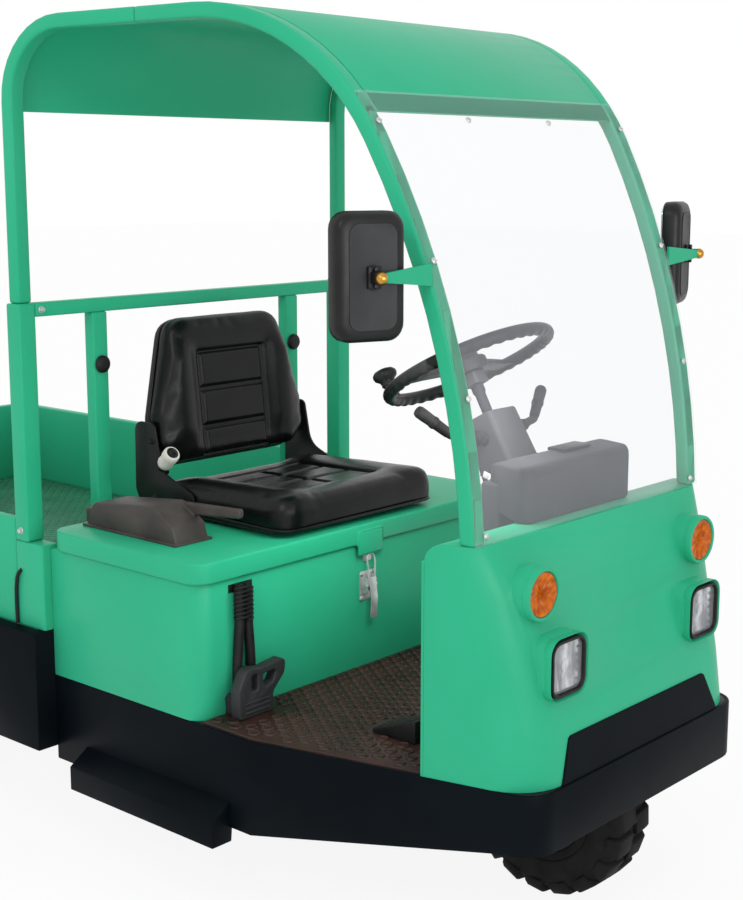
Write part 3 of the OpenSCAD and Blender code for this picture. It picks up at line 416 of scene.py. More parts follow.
# %% Paints, metals, rubbers and plastics
# A row holds the slot, colour, roughness, metallic and shine, and below them the layers:
# two tones with their scale, the range of gloss with its scale, and the skin's scale, strength and depth.
OPAQUE = {
    "green_gloss": ("green_paint", (46, 172, 130), 0.34, 0, 0.12,
        ((43, 169, 127), (50, 175, 134), 2.2), (0.3, 0.42, 9), (420, 0.035, 0.0006)),
    "chassis_black": ("black_paint", (9, 15, 20), 0.4, 0, 0.04,
        ((7, 13, 18), (12, 18, 23), 5), (0.36, 0.5, 14), (520, 0.08, 0.0008)),
    "bed_green": ("bed_paint", (22, 112, 80), 0.5, 0, 0.5,
        ((17, 96, 68), (28, 122, 88), 7), (0.42, 0.62, 18), (300, 0.08, 0.0008)),
    "frame_steel": ("dark_steel", (34, 36, 39), 0.5, 0.2, 0.2,
        ((28, 30, 33), (41, 42, 44), 11), (0.42, 0.62, 25), (260, 0.12, 0.001)),
    "leaf_steel": ("spring_steel", (48, 46, 45), 0.6, 0.4, 0.5,
        ((40, 38, 37), (64, 58, 53), 22), (0.5, 0.72, 40), (190, 0.2, 0.001)),
    "zinc": ("bright_steel", (196, 198, 198), 0.36, 0.55, 0.5,
        ((182, 184, 184), (210, 212, 213), 60), (0.28, 0.44, 90)),
    "brass": ("bright_steel", (196, 146, 62), 0.3, 1, 0.5,
        ((178, 128, 50), (210, 164, 82), 80), (0.24, 0.4, 120)),
    # The reflector chrome's tone, mid grey to white in stretched streaks, is a painted reflection of darker
    # surroundings in the dish.
    "reflector_chrome": ("bright_steel", (200, 202, 205), 0.12, 1, 0.5,
        ((118, 121, 125), (232, 234, 236), 30, 0.38, 0.6, (0.2, 1.6, 0.5)), (0.08, 0.18, 60)),
    "mirror_silver": ("mirror", (214, 220, 224), 0.03, 1, 0.5, (), (0.02, 0.05, 12)),
    "tyre_rubber": ("tyre", (24, 24, 25), 0.8, 0, 0.15,
        ((19, 19, 20), (33, 32, 31), 16), (0.68, 0.9, 40), (230, 0.25, 0.0008)),
    "black_rubber": ("rubber", (20, 20, 21), 0.55, 0, 0.3,
        ((15, 15, 16), (26, 25, 25), 30), (0.48, 0.7, 60), (420, 0.12, 0.0006)),
    "mat_rubber": ("floor_mat", (49, 31, 27), 0.4, 0, 0.32,
        ((41, 25, 22), (58, 38, 33), 9), (0.3, 0.5, 22), (340, 0.12, 0.0008)),
    "cab_plastic": ("dark_plastic", (44, 44, 46), 0.5, 0, 0.35,
        ((37, 38, 40), (49, 50, 52), 8), (0.48, 0.64, 20), (900, 0.22, 0.0006, PEBBLED)),
    "lever_black": ("dark_plastic", (19, 19, 20), 0.42, 0, 0.28,
        ((16, 16, 17), (24, 24, 25), 24), (0.34, 0.5, 45), (700, 0.1, 0.0005)),
    "brake_grey": ("dark_plastic", (64, 58, 57), 0.5, 0, 0.3,
        ((56, 50, 49), (72, 66, 64), 14), (), (700, 0.15, 0.0006, PEBBLED)),
    "battery_grey": ("battery_case", (86, 90, 93), 0.6, 0, 0.5,
        ((78, 82, 85), (96, 99, 101), 10), (), (400, 0.15, 0.0006)),
    "knob_white": ("dark_plastic", (214, 212, 204), 0.4, 0, 0.5,
        ((204, 201, 192), (222, 220, 213), 40), (), (600, 0.08, 0.0004)),
    "seat_vinyl": ("vinyl", (11, 11, 12), 0.3, 0, 0.22,
        ((9, 9, 10), (14, 14, 15), 13), (0.24, 0.34, 30), (620, 0.2, 0.0006, PEBBLED)),
    "amber": ("amber_lens", (196, 92, 8), 0.24, 0, 0.2,
        ((160, 68, 5), (222, 118, 16), 70, 0.34, 0.66), (), (240, 0.4, 0.001))}
for name, row in OPAQUE.items():
    new_finish(name, *row)

# %% Glass and lenses
# The windshield's near-white colour, a tenth opaque, is a painted whitish reflection laid over the clear
# glass.
new_finish("cab_glass", "clear_glass", (226, 229, 236), 0.06, 0, 0.15, glosses=(0.04, 0.1, 6), Alpha=0.1)
new_finish("lamp_glass", "lamp_lens", (196, 200, 204), 0.05, 0, 0.3,
           grain=(60, 0.5, 0.002, PLAIN, (0.01, 3.2, 0.35)), Alpha=0.16)
new_finish("amber_glass", "amber_lens", (214, 104, 10), 0.06, 0, 0.12, grain=(260, 0.3, 0.001), Alpha=0.08)
new_finish("stop_red", "red_lens", (176, 24, 22), 0.14, 0, 0.5, ((140, 14, 14), (200, 36, 32), 90, 0.3, 0.7),
           grain=(240, 0.4, 0.001), Coat_Weight=0.6, Coat_Roughness=0.05)
print("finishes:", len(FINISHES))

# %% [markdown]
# ## Panels, tubes and plates
# Sheet metal and square tube have no knife edges: every fold has a radius of a few millimetres,
# and the light that catches on it is what makes a panel look like metal.
# Such a piece keeps the form of its solid, so a copy of the solid with bevelled edges is enough.
# The width of the bevel is the bending radius of that sheet or tube. The steps are drawn as a closed section,
# and the mirror arms are squeezed to the flat bar that they are.

# %% Plain pieces
EDGES = {
    "chassis_black": {"chassis_band": 0.0022, "rear_skirt": 0.003, "chassis_rails": 0.004},
    "frame_steel": {"floor_plate": 0.001, "wheel_house": 0.0015, "tow_hitch": 0.003, "rear_axle": 0.003},
    "green_gloss": {"nose_cowl": 0.0018, "bulkhead": 0.001, "seat_box": 0.003, "guard_posts": 0.005,
                    "guard_bar": 0.004, "guard_uprights": 0.004, "front_hoops": 0.006, "rear_hoops": 0.006,
                    "roof": 0.001, "bed_walls": 0.005, "bed_corners": 0.005},
    "bed_green": {"bed_floor": 0.001},
    "leaf_steel": {"leaf_springs": 0.001},
    "cab_glass": {"windshield": 0.001},
    "battery_grey": {"battery": 0.005},
    "mirror_silver": {"mirror_glass": 0.0006},
    "cab_plastic": {"dash": 0.006}}
FINE_EDGE = 0.003
for finish, edges in EDGES.items():
    for node, edge in edges.items():
        dress(from_solid(node, edge, 3 if edge > FINE_EDGE else 2), finish, node)
    print(finish, "on", len(edges), "plain pieces")
dress(from_solid("steer_fork", 0.003), "frame_steel", "steer_fork", body="steer_fork")

# %% Mirror arms and steps
ARM_MIDDLE, ARM_SLIM = (1.165, 0, 1.272), 0.66
arms = from_solid("mirror_arms")
open_mesh(arms)
bpy.ops.transform.resize(value=(1, 1, ARM_SLIM), center_override=ARM_MIDDLE)
put_down()
dress(shade(arms), "green_gloss", "mirror_arms")
STEP_SECTION = [(0.49, 0.2), (0.5, 0.216), (0.548, 0.184), (0.548, 0.132), (0.496, 0.132)]
low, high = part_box("steps")
step = plate("side_step", STEP_SECTION, high[0] - low[0], facing_x(low[0]))
dress_pair(shade(soften(step, 0.0018)), "side_steps", "chassis_black", "steps")
print("steps and mirror arms done")

# %% [markdown]
# ## The patch on the nose
# A thin black sheet covers the foot of the nose and follows its slope. A grid is pulled into the sheet's
# outline, wider at its foot and round at its top corners, and laid on the nose with a shrinkwrap, as a
# sticker would be.

# %% Nose patch
PATCH_FOOT, PATCH_TOP = 0.356, 0.438
PATCH_HALF_FOOT, PATCH_HALF_TOP = 0.278, 0.248
PATCH_ROUND = 0.016
AHEAD_OF_NOSE = 1.45
put_down()
bpy.ops.mesh.primitive_grid_add(x_subdivisions=80, y_subdivisions=16, size=2)
patch = named("nose_sheet")
for v in patch.data.vertices:
    rise = (v.co.y + 1) / 2
    y = v.co.x * (PATCH_HALF_FOOT + (PATCH_HALF_TOP - PATCH_HALF_FOOT) * rise)
    over = max(0.0, abs(y) - (PATCH_HALF_TOP - PATCH_ROUND)) / PATCH_ROUND
    drop_by = PATCH_ROUND * (1 - math.sqrt(1 - min(1.0, over) ** 2))
    v.co = (AHEAD_OF_NOSE, y, PATCH_FOOT + (PATCH_TOP - drop_by - PATCH_FOOT) * rise)
use_modifier(patch, "SHRINKWRAP", target=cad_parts["nose_cowl"], wrap_method="PROJECT", offset=0.0,
             use_project_x=True, use_project_y=False, use_project_z=False,
             use_negative_direction=True, use_positive_direction=False)
use_modifier(patch, "SOLIDIFY", thickness=0.006, offset=0.0)
face_out(patch)
dress(shade(soften(patch, 0.001)), "chassis_black", "nose_patch")
print("patch box", [[round(c, 4) for c in corner] for corner in patch.bound_box][::6])

# %% [markdown]
# ## The seat lid and what stands on it
# The lid is one deep-drawn sheet: its top rolls over into the skirt with a generous radius. The solid
# already has the outline, so it only gets that roll, wider than on the other panels. The brackets that carry
# the backrest are cut from plate. The cover of the parking brake stands on a flange with a heel behind it.

# %% Seat lid, pan, brackets and brake cover
dress(from_solid("seat_lid", 0.0045, 3), "green_gloss", "seat_lid", body="seat_lid")
dress(from_solid("seat_base", 0.0015), "frame_steel", "seat_base", body="seat_lid")
BRACKET = [(0.2, 0.7005, 0.012), (0.379, 0.7005, 0.004), (0.379, 0.742, 0.014), (0.272, 0.786, 0.05),
           (0.251, 0.8915, 0.016), (0.186, 0.8915, 0.022), (0.184, 0.735, 0.02)]
bracket = plate("seat_bracket", round_off(BRACKET), 0.006, shift(0, 0.245, 0) @ STAND_Y)
shade(soften(bracket, 0.0015))
dress_pair(bracket, "seat_bracket_plates", "lever_black", "seat_brackets", body="seat_lid")
low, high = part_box("hand_brake")
brake = [from_solid("hand_brake", 0.005, 3),
         box_piece("brake_flange", (low[0] - 0.006, low[1] - 0.006, low[2]),
                   (low[0] + 0.3, high[1] + 0.006, low[2] + 0.006), 0.002),
         box_piece("brake_heel", (low[0] - 0.028, low[1] + 0.022, low[2]),
                   (low[0] + 0.012, high[1] - 0.022, low[2] + 0.034), 0.004, 3)]
dress(weld(brake, "dressed_hand_brake"), "brake_grey", "hand_brake", body="seat_lid")
print("lid pieces done")

# %% [markdown]
# ## Bolts and screws
# A vehicle of plates and tubes is held together by a few kinds of fastener, and each kind is modelled once.
# A hexagon bolt starts as a six-sided cylinder on a turned washer, and a screw is a turned dome with a slot.
# A straight line is shot at the solid to find the face it sits on, so no fastener floats or sinks.

# %% Fasteners
TREES = {}
SEAT_DEPTH = 0.0006


def tree_of(node):
    if node not in TREES:
        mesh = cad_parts[node].data
        TREES[node] = BVHTree.FromPolygons([v.co for v in mesh.vertices], [p.vertices for p in mesh.polygons])
    return TREES[node]


def touch(node, start, aim):
    """Where a line first meets a CAD solid, as a frame with Z square out of its face."""
    point, normal, _, _ = tree_of(node).ray_cast(Vector(start), Vector(aim).normalized())
    return Matrix.Translation(point) @ normal.to_track_quat("Z", "Y").to_matrix().to_4x4()


def hex_bolt(name, size):
    put_down()
    bpy.ops.mesh.primitive_cylinder_add(vertices=6, radius=size, depth=size, location=(0, 0, size * 0.7))
    head = named(name)
    place(head, Matrix.Translation(head.location))
    soften(head, size * 0.1, 2, 50)
    profile = [(0, 0.25), (1.25, 0.25), (1.36, 0.12), (1.36, -SEAT_DEPTH / size)]
    washer = lathe("washer", profile, steps=18, unit=size)
    return shade(weld([head, washer], name), 35)


def dome_screw(name, size):
    profile = [(0, 0.55), (0.45, 0.5), (0.85, 0.28), (1, 0.04), (1, -SEAT_DEPTH / size)]
    screw = lathe(name, profile, steps=16, unit=size)
    slot = box_piece("slot", (-size * 0.7, -size * 0.09, size * 0.3), (size * 0.7, size * 0.09, size * 0.62))
    return shade(weld([screw, slot], name), 40)


def fasten(name, template, spots, finish, body="chassis"):
    piece = weld([copy_at(template, spot) for spot in spots], name)
    print(name, "x", len(spots))
    return dress(piece, finish, body=body)


bolt_m10 = hex_bolt("bolt_m10", 0.0088)
bolt_m6 = hex_bolt("bolt_m6", 0.0056)
glass_screw = dome_screw("glass_screw", 0.0062)

# %% Bolted joints
spots = []
for s in SIDES:
    spots += [touch("rear_skirt", (x, s * 0.7, 0.41), -s * Y_WAY) for x in (-1.1, -1.24)]
    spots += [touch("tow_hitch", (-1.33, s * 0.3, z), -s * Y_WAY) for z in (0.275, 0.325)]
fasten("frame_bolts", bolt_m10, spots, "chassis_black")
spots = []
for s in SIDES:
    spots.append(touch("guard_bar", (0.3, s * 0.462, 1.155), -X_WAY))
    spots += [touch("guard_uprights", (0.3, s * 0.305, z), -X_WAY) for z in (0.5, 0.62)]
    spots.append(touch("guard_posts", (0.126, s * 0.7, 0.674), -s * Y_WAY))
fasten("guard_bolts", bolt_m6, spots, "zinc")
ROD_LINE = [(0.122, 0.522, 0.586), (0.116, 0.5262, 0.578), (0.107, 0.5265, 0.552), (0.1045, 0.5265, 0.52),
            (0.1045, 0.5262, 0.462)]
dress_pair(tube("corner_rod", ROD_LINE, 0.0042), "corner_rods", "frame_steel")

# %% Screws round the windshield
SCREW_ROWS = (0.815, 1.06, 1.3, 1.545)
HALF_AT_FOOT, SPLAY = 0.352, 0.052
START_X, AIM = 2.0, (-1, 0, -0.03)
spots = []
for z in SCREW_ROWS:
    for s in SIDES:
        reach = HALF_AT_FOOT + (z - SCREW_ROWS[0]) * SPLAY
        spots.append(touch("windshield", (START_X, s * reach, z + 0.02), AIM))
spots += [touch("windshield", (START_X, y, 1.572), AIM) for y in (-0.13, 0.13)]
fasten("windshield_screws", glass_screw, spots, "zinc")

# %% [markdown]
# ## Tyres
# A solid industrial tyre is a smooth carcass with deep lugs that run round its shoulders.
# The carcass is a profile turned on the axle, and one lug is drawn as a section, pulled to its width,
# and copied round both shoulders, the two sides half a pitch apart.

# %% Tyre
TYRE_LUGS = 19
LUG_LENGTH, LUG_LEAN = 0.046, 11
WHEELS = [((1.186, 0, 0.2), "front_wheel", "front_tyre", "front_rim"),
          ((-0.484, -0.45, 0.2), "rear_wheel_r", "rear_tyre_r", "rear_rim_r"),
          ((-0.484, 0.45, 0.2), "rear_wheel_l", "rear_tyre_l", "rear_rim_l")]
half = [(104, -45), (110, -51), (120, -53.5), (124, -52), (128, -55.5), (145, -58), (160, -56.5), (176, -52),
        (187, -40), (189, -20)]
carcass = lathe("tyre_carcass", half + [(r, -h) for r, h in reversed(half)] + half[:1], steps=72)
shade(carcass, 30)
LUG_SECTION = [(0.1976, 0.003), (0.1976, 0.04), (0.196, 0.048), (0.184, 0.055), (0.17, 0.0575),
               (0.168, 0.05), (0.182, 0.04), (0.186, 0.003)]
lug = plate("tyre_lug", LUG_SECTION, LUG_LENGTH, turn(LUG_LEAN, "X") @ shift(0, LUG_LENGTH / 2, 0) @ STAND_Y)
shade(soften(lug, 0.0022, 2, 30), 40)
lugs = []
for k in range(TYRE_LUGS):
    lugs.append(copy_at(lug, turn(360 * k / TYRE_LUGS, "Z")))
    lugs.append(copy_at(lug, turn(360 * (k + 0.5) / TYRE_LUGS, "Z") @ FLIP_Z))
tyre = weld([carcass] + lugs, "tyre")
drop(lug)
for hub, body, tyre_node, _ in WHEELS:
    piece = copy_at(tyre, Matrix.Translation(hub) @ TO_Y)
    piece.name = piece.data.name = "tread_" + tyre_node
    dress(piece, "tyre_rubber", tyre_node, body=body)
drop(tyre)
print("tyres with", len(lugs), "lugs each")

# %% Rims
RIM_BOLTS, BOLT_RING = 5, 0.07
RIM = [(94, 45), (103.5, 45.2), (107.5, 47.5), (106.5, 50), (100, 49.5), (94, 47), (94, 45)]
rim_ring = shade(lathe("rim_ring", RIM, steps=56), 35)
for hub, body, _, rim_node in WHEELS:
    parts = [from_solid(rim_node, 0.0018)]
    for side, bolt_face in ((Matrix(), 0.0), (FLIP_Z, 0.008)):
        at = Matrix.Translation(hub) @ TO_Y @ side
        parts.append(copy_at(rim_ring, at))
        for k in range(RIM_BOLTS):
            parts.append(copy_at(bolt_m10, at @ turn(72 * k + 18, "Z") @ shift(BOLT_RING, 0, bolt_face)))
    dress(weld(parts, "wheel_" + rim_node), "frame_steel", rim_node, body=body)
drop(rim_ring)
print("rims:", len(WHEELS))

# %% [markdown]
# ## The seat
# The cushion and the backrest are foam under black vinyl: crowned, soft at every edge, and pressed in
# along sewn channels. A block with round edges would look like wood, so each one becomes a fine even net and
# is blown up from inside as cloth, which pulls the sides in between the corners, and is then smoothed.
# The channels are pressed in afterwards, because the net would wipe them out.

# %% Padding tools
VOXEL = 0.005
PRESSURE = 4
CLOTH_FRAMES = 20
PAD_CAP = 0.005


def pick(piece, kind, test):
    """Opens a mesh and selects the edges or faces that pass a test."""
    open_mesh(piece)
    bpy.ops.mesh.select_mode(type=kind)
    bpy.ops.mesh.select_all(action="DESELECT")
    bpy.ops.object.mode_set(mode="OBJECT")
    for item in piece.data.edges if kind == "EDGE" else piece.data.polygons:
        item.select = test(item)
    bpy.ops.object.mode_set(mode="EDIT")


def stuff(piece):
    """Even net, cloth under pressure from inside, creases eased out and one subdivision."""
    use_modifier(piece, "REMESH", mode="VOXEL", voxel_size=VOXEL)
    rest = [v.co.copy() for v in piece.data.vertices]
    pick_up(piece)
    bpy.ops.object.modifier_add(type="CLOTH")
    cloth = piece.modifiers[-1]
    cloth.settings.use_pressure = True
    cloth.settings.uniform_pressure_force = PRESSURE
    cloth.settings.effector_weights.gravity = 0
    cloth.point_cache.frame_end = CLOTH_FRAMES
    for step in range(1, CLOTH_FRAMES + 1):
        bpy.context.scene.frame_set(step)
    bpy.ops.object.modifier_apply(modifier=cloth.name)
    for v, start in zip(piece.data.vertices, rest):
        move = v.co - start
        if move.length > PAD_CAP:
            v.co = start + move * (PAD_CAP / move.length)
    bpy.context.scene.frame_set(1)
    use_modifier(piece, "SMOOTH", factor=0.5, iterations=8)
    use_modifier(piece, "SUBSURF", levels=1, render_levels=1)


def ease(value, low, high):
    t = min(1.0, max(0.0, (value - low) / (high - low)))
    return t * t * (3 - 2 * t)


def dent(distance, width):
    return math.exp(-(distance / width) ** 2)


def block_dent(a, b, rows, half, width=0.0052):
    """How deep a channel round a column of pads is at (a, b): 1 in the channel, 0 on a pad."""
    worst = 0.0
    for low, high in rows:
        da = max(low - a, a - high)
        db = abs(b) - half
        edge = max(da, db) if max(da, db) < 0 else math.hypot(max(da, 0), max(db, 0))
        worst = max(worst, dent(edge, width))
    return worst


# %% Cushion
PAD_FOOT, PAD_BELLY = 0.7006, 0.72
PAD_REAR, PAD_FRONT = 0.254, 0.674
PAD_FALL = 0.012
PAD_HALF_MOST = 0.262
PAD_PLAN = [(PAD_REAR, -0.238, 0.03), (PAD_FRONT, -0.256, 0.048),
            (PAD_FRONT, 0.256, 0.048), (PAD_REAR, 0.238, 0.03)]
WELT_PLAN = [(0.2585, -0.234, 0.028), (0.669, -0.251, 0.046), (0.669, 0.251, 0.046), (0.2585, 0.234, 0.028)]
PAD_ROWS = [(0.335, 0.408), (0.413, 0.49), (0.495, 0.572)]
cushion = plate("cushion", round_off(PAD_PLAN), 0.066, shift(0, 0, PAD_FOOT))
for v in cushion.data.vertices:
    if v.co.z > PAD_BELLY:
        v.co.z -= PAD_FALL * (PAD_FRONT - v.co.x) / 0.42
pick(cushion, "EDGE", lambda edge: all(cushion.data.vertices[i].co.z > PAD_BELLY for i in edge.vertices))
bpy.ops.mesh.bevel(offset=0.026, segments=5, affect="EDGES")
put_down()
stuff(cushion)
normals = [v.normal.copy() for v in cushion.data.vertices]
for v, n in zip(cushion.data.vertices, normals):
    top = ease(n.z, 0.35, 0.8)
    if top > 0:
        y = abs(v.co.y)
        swell = 0.008 * dent(y - 0.192, 0.045) * ease(v.co.x, 0.26, 0.34)
        swell += 0.004 * dent(v.co.x - 0.612, 0.03) * (1 - ease(y, 0.16, 0.22))
        hollow = 0.005 * (1 - ease(y, 0.13, 0.165)) * (1 - ease(v.co.x, 0.56, 0.6))
        deep = 0.0075 * block_dent(v.co.x, y - 0.0705, PAD_ROWS, 0.068)
        v.co.z += top * (swell - hollow - deep)
    v.co.z = max(v.co.z, PAD_FOOT)
    v.co.y = max(-PAD_HALF_MOST, min(PAD_HALF_MOST, v.co.y))
dress(shade(cushion, 180), "seat_vinyl", "seat_cushion", body="seat_lid")
welt_line = [p.to_3d() + Vector((0, 0, 0.7045)) for p in round_off(WELT_PLAN)]
dress(tube("cushion_welt", welt_line, 0.0038, closed=True), "seat_vinyl", body="seat_lid")
print("cushion faces:", len(cushion.data.polygons))

# %% Backrest
BACK = shift(0.27, 0, 0.7905) @ turn(-6.5, "Y")
BACK_WIDER, BACK_HIGHER = 1.065, 1.036
BACK_ROWS = [(0.014, 0.074), (0.079, 0.162), (0.167, 0.25)]
to_back = BACK.inverted()
turn_back = to_back.to_3x3()
front_way = BACK.to_3x3() @ X_WAY
backrest = from_solid("seat_back", 0.021, 4, name="backrest")
place(backrest, BACK @ Matrix.Diagonal((1, BACK_WIDER, BACK_HIGHER, 1)) @ to_back)
stuff(backrest)
normals = [v.normal.copy() for v in backrest.data.vertices]
for v, n in zip(backrest.data.vertices, normals):
    p = to_back @ v.co
    front = ease((turn_back @ n).x, 0.35, 0.8)
    if front > 0:
        y = abs(p.y)
        swell = 0.011 * dent(y - 0.16, 0.034) * ease(p.z, 0.02, 0.09) * (1 - ease(p.z, 0.23, 0.3))
        hollow = 0.007 * (1 - ease(y, 0.105, 0.14)) * ease(p.z, 0.0, 0.05) * (1 - ease(p.z, 0.25, 0.285))
        deep = 0.008 * block_dent(p.z, p.y, BACK_ROWS, 0.1)
        v.co += front_way * front * (swell - hollow - deep)
dress(shade(backrest, 180), "seat_vinyl", "seat_back", body="seat_lid")
print("backrest faces:", len(backrest.data.polygons))

# %% Shell behind the backrest
SQUARE_ON = 0.9


def sink(piece, way, insets, depth):
    """Insets the face that looks a given way, once or more, and pushes it in."""
    pick(piece, "FACE", lambda face: face.normal.dot(way) > SQUARE_ON)
    for inset in insets:
        bpy.ops.mesh.inset(thickness=inset)
    bpy.ops.transform.translate(value=-depth * way)
    put_down()
    return piece


BACK_OUT = [(-0.178, 0, 0.03), (0.178, 0, 0.03), (0.218, 0.04, 0.03), (0.218, 0.11, 0.06),
            (0.158, 0.324, 0.05), (-0.158, 0.324, 0.05), (-0.218, 0.11, 0.06), (-0.218, 0.04, 0.03)]
shell_out = [(x * 1.035, z * 1.01, r) for x, z, r in BACK_OUT]
shell = plate("backrest_shell", round_off(shell_out), 0.02, BACK @ facing_x(-0.0635))
sink(shell, -front_way, [0.03], 0.004)
dress(shade(soften(shell, 0.006, 3)), "lever_black", body="seat_lid")
welt_line = [BACK @ Vector((-0.0455, p.x, p.y)) for p in round_off(shell_out, 4)]
dress(tube("backrest_welt", welt_line, 0.003, closed=True), "seat_vinyl", body="seat_lid")
print("shell and welt done")

# %% Recline knob
KNOB_WAY = Vector((0.75, -0.12, 0.65))
knob_at = shift(0.3, -0.258, 0.806) @ KNOB_WAY.to_track_quat("Z", "Y").to_matrix().to_4x4()
KNOB = [(0, -4), (11, -4), (16, 0), (18.2, 9), (16.8, 20), (19, 31), (19, 43), (16.8, 47), (13.2, 47.5)]
knob = lathe("recline_knob", KNOB, knob_at, 28)
dress(shade(knob, 40), "knob_white", body="seat_lid")
core = lathe("recline_core", [(13.6, 40), (13.6, 48.2), (8, 49.6), (3.5, 47), (0, 47)], knob_at, 24)
stem = tube("recline_stem", [knob_at.translation, knob_at @ Vector((0, 0, -0.02)), (0.292, -0.246, 0.79),
                             (0.288, -0.24, 0.784)], 0.0055)
dress(weld([shade(core), stem], "recline_stem"), "lever_black", body="seat_lid")
BRACKET_BOLTS = ((0.245, 0.85), (0.34, 0.722), (0.25, 0.722))
spots = [touch("seat_brackets", (x, s * 0.4, z), -s * Y_WAY) for s in SIDES for x, z in BRACKET_BOLTS]
fasten("bracket_bolts", bolt_m6, spots, "frame_steel", "seat_lid")

# %% [markdown]
# ## The steering wheel
# The grip is a ring of moulded plastic with finger hollows on its underside, two pressed spokes, a hub cap
# and a spinner knob for one-handed turning. Everything is modelled flat round the origin and laid on the
# column in one move, so each piece can be built with plain numbers.

# %% Wheel rim
COLUMN = shift(0.953, 0, 1.058) @ turn(-29, "Y")
RING_R, GRIP_R = 0.173, 0.0138
FINGERS, FINGER_DEPTH = 40, 0.17
put_down()
bpy.ops.mesh.primitive_torus_add(major_segments=200, minor_segments=18,
                                 major_radius=RING_R, minor_radius=GRIP_R)
grip = named("wheel_grip")
for v in grip.data.vertices:
    around = math.atan2(v.co.y, v.co.x)
    middle = Vector((math.cos(around), math.sin(around), 0)) * RING_R
    out = v.co - middle
    under = ease(-out.z / GRIP_R, -0.1, 0.7)
    v.co = middle + out * (1 - FINGER_DEPTH * under * (0.5 - 0.5 * math.cos(FINGERS * around)))
shade(grip, 180)
half = [(0.026, -0.024), (0.06, -0.0225), (0.12, -0.0165), (0.17, -0.019)]
spoke = plate("wheel_spoke", half + [(x, -y) for x, y in reversed(half)], 0.011, shift(0, 0, -0.0065))
sink(spoke, Z_WAY, [0.0055], 0.005)
shade(soften(spoke, 0.0016))
spokes = [copy_at(spoke, turn(a, "Z")) for a in (100, -100)]
drop(spoke)
HUB = [(0, 24.5), (20, 24), (25.5, 21.5), (27, 16.5), (27.5, 11.5), (36.5, 9.5), (39.5, 6), (40, -12),
       (37, -17.5), (11.2, -17.5)]
hub = shade(lathe("wheel_hub", HUB, steps=44), 35)
wheel = place(weld([grip] + spokes + [hub], "dressed_steering_wheel"), COLUMN)
dress(wheel, "lever_black", "steering_wheel", body="steering_wheel")
print("steering wheel", len(wheel.data.polygons), "faces")

# %% Spinner knob
spin_at = COLUMN @ turn(-156, "Z") @ shift(RING_R, 0, 0)
SPINNER = [(0, 69), (12, 68.6), (20, 66.2), (25, 61), (26.2, 55.5), (24, 49), (16.5, 43), (14, 37),
           (15, 33), (11.2, 28.5), (9, 12)]
knob = lathe("spinner_knob", SPINNER, spin_at, 36)
clamp = lathe("spinner_clamp", [(0, 19), (12, 19), (14, 17.5), (14.5, 12), (15, 4), (0, 4)], spin_at, 30)
dress(weld([shade(knob, 40), shade(clamp, 40)], "spinner_knob"), "lever_black", body="steering_wheel")
band = lathe("spinner_band", [(10.2, 18.5), (11.2, 19), (11.2, 22.5), (10.2, 23)], spin_at, 30)
dress(shade(band), "zinc", body="steering_wheel")
print("spinner knob done")

# %% [markdown]
# ## The column
# Below the wheel comes a square collar, a short steel shaft and then the switch housing, a square moulding
# whose two levers leave through pleated rubber boots. A pleated boot is a zigzag profile turned once.
# The column tube is cut off by the plane of the bulkhead, as a welder would cut it.

# %% Column and switch housing
BULKHEAD_X = 1.171
HOUSING_TOP, HOUSING_FOOT, HOUSING_WAIST = -0.11, -0.246, -0.172


def taper(piece, way, factors, centre):
    """Draws the face that looks a given way together round a centre."""
    pick(piece, "FACE", lambda face: face.normal.dot(way) > SQUARE_ON)
    bpy.ops.transform.resize(value=factors, center_override=centre)
    put_down()


def square_block(name, half_x, half_y, radius, foot, top):
    """A block round the column's axis, with round corners."""
    outline = round_rect((-half_x, -half_y), (half_x, half_y), radius)
    return plate(name, outline, top - foot, shift(0, 0, foot))


collar = soften(square_block("column_collar", 0.021, 0.021, 0.006, -0.0445, -0.0185), 0.002)
lower = lathe("column_tube", [(0, -245), (26, -245), (26, -520), (0, -520)])
housing = square_block("switch_housing", 0.046, 0.05, 0.012, HOUSING_FOOT, HOUSING_TOP)
taper(housing, Z_WAY, (0.86, 0.92, 1), (0, 0, HOUSING_TOP))
open_mesh(housing)
bpy.ops.mesh.bisect(plane_co=(0, 0, HOUSING_WAIST), plane_no=Z_WAY)
face_out(housing)
soften(housing, 0.006, 3)
seam = square_block("housing_seam", 0.0464, 0.0504, 0.012, -0.2205, -0.2189)
column = place(weld([shade(collar), shade(lower), shade(housing), seam], "dressed_column"), COLUMN)
open_mesh(column)
bpy.ops.mesh.bisect(plane_co=(BULKHEAD_X, 0, 0), plane_no=X_WAY, clear_outer=True, use_fill=True)
put_down()
dress(column, "cab_plastic", "steering_column")
SHAFT = [(0, -18), (13.5, -18), (13.5, -60), (11, -64), (11, -104), (15, -106), (15, -112), (0, -112)]
dress(shade(lathe("column_shaft", SHAFT, COLUMN, 28)), "frame_steel")

# %% Switch levers
PLEATS, PLEAT_STEP = 7, 8.5
BOOT = [(0, -4), (16.5, -4)]
for k in range(PLEATS):
    r, h = 16 - 0.6 * k, PLEAT_STEP * k
    BOOT += [(r, h), (r, h + 2.8), (r - 3.8, h + 4.6), (r - 3.8, h + 7.2)]
BOOT += [(9.5, 61.5), (8.8, 70), (0, 70)]
GRIP = [(0, -4), (9.2, -3), (10.5, 2), (11.2, 34), (12.8, 36), (12.8, 42), (11.6, 44), (12.4, 66), (12.4, 78),
        (10.5, 83.2), (0, 84)]
levers = []
for s in SIDES:
    root = COLUMN @ shift(0, s * 0.046, -0.156) @ turn(-s * 78, "X")
    elbow = root @ shift(0, 0, 0.094)
    bent = elbow @ turn(s * 30, "X")
    knots = ((root, 0.06), (root, 0.078), (elbow, 0.001), (bent, 0.01), (bent, 0.022))
    levers.append(lathe("lever_boot", BOOT, root, 26))
    levers.append(tube("lever_rod", [at @ (Z_WAY * h) for at, h in knots], 0.0086))
    levers.append(lathe("lever_grip", GRIP, bent @ shift(0, 0, 0.008), 26))
for piece in levers:
    shade(piece, 35)
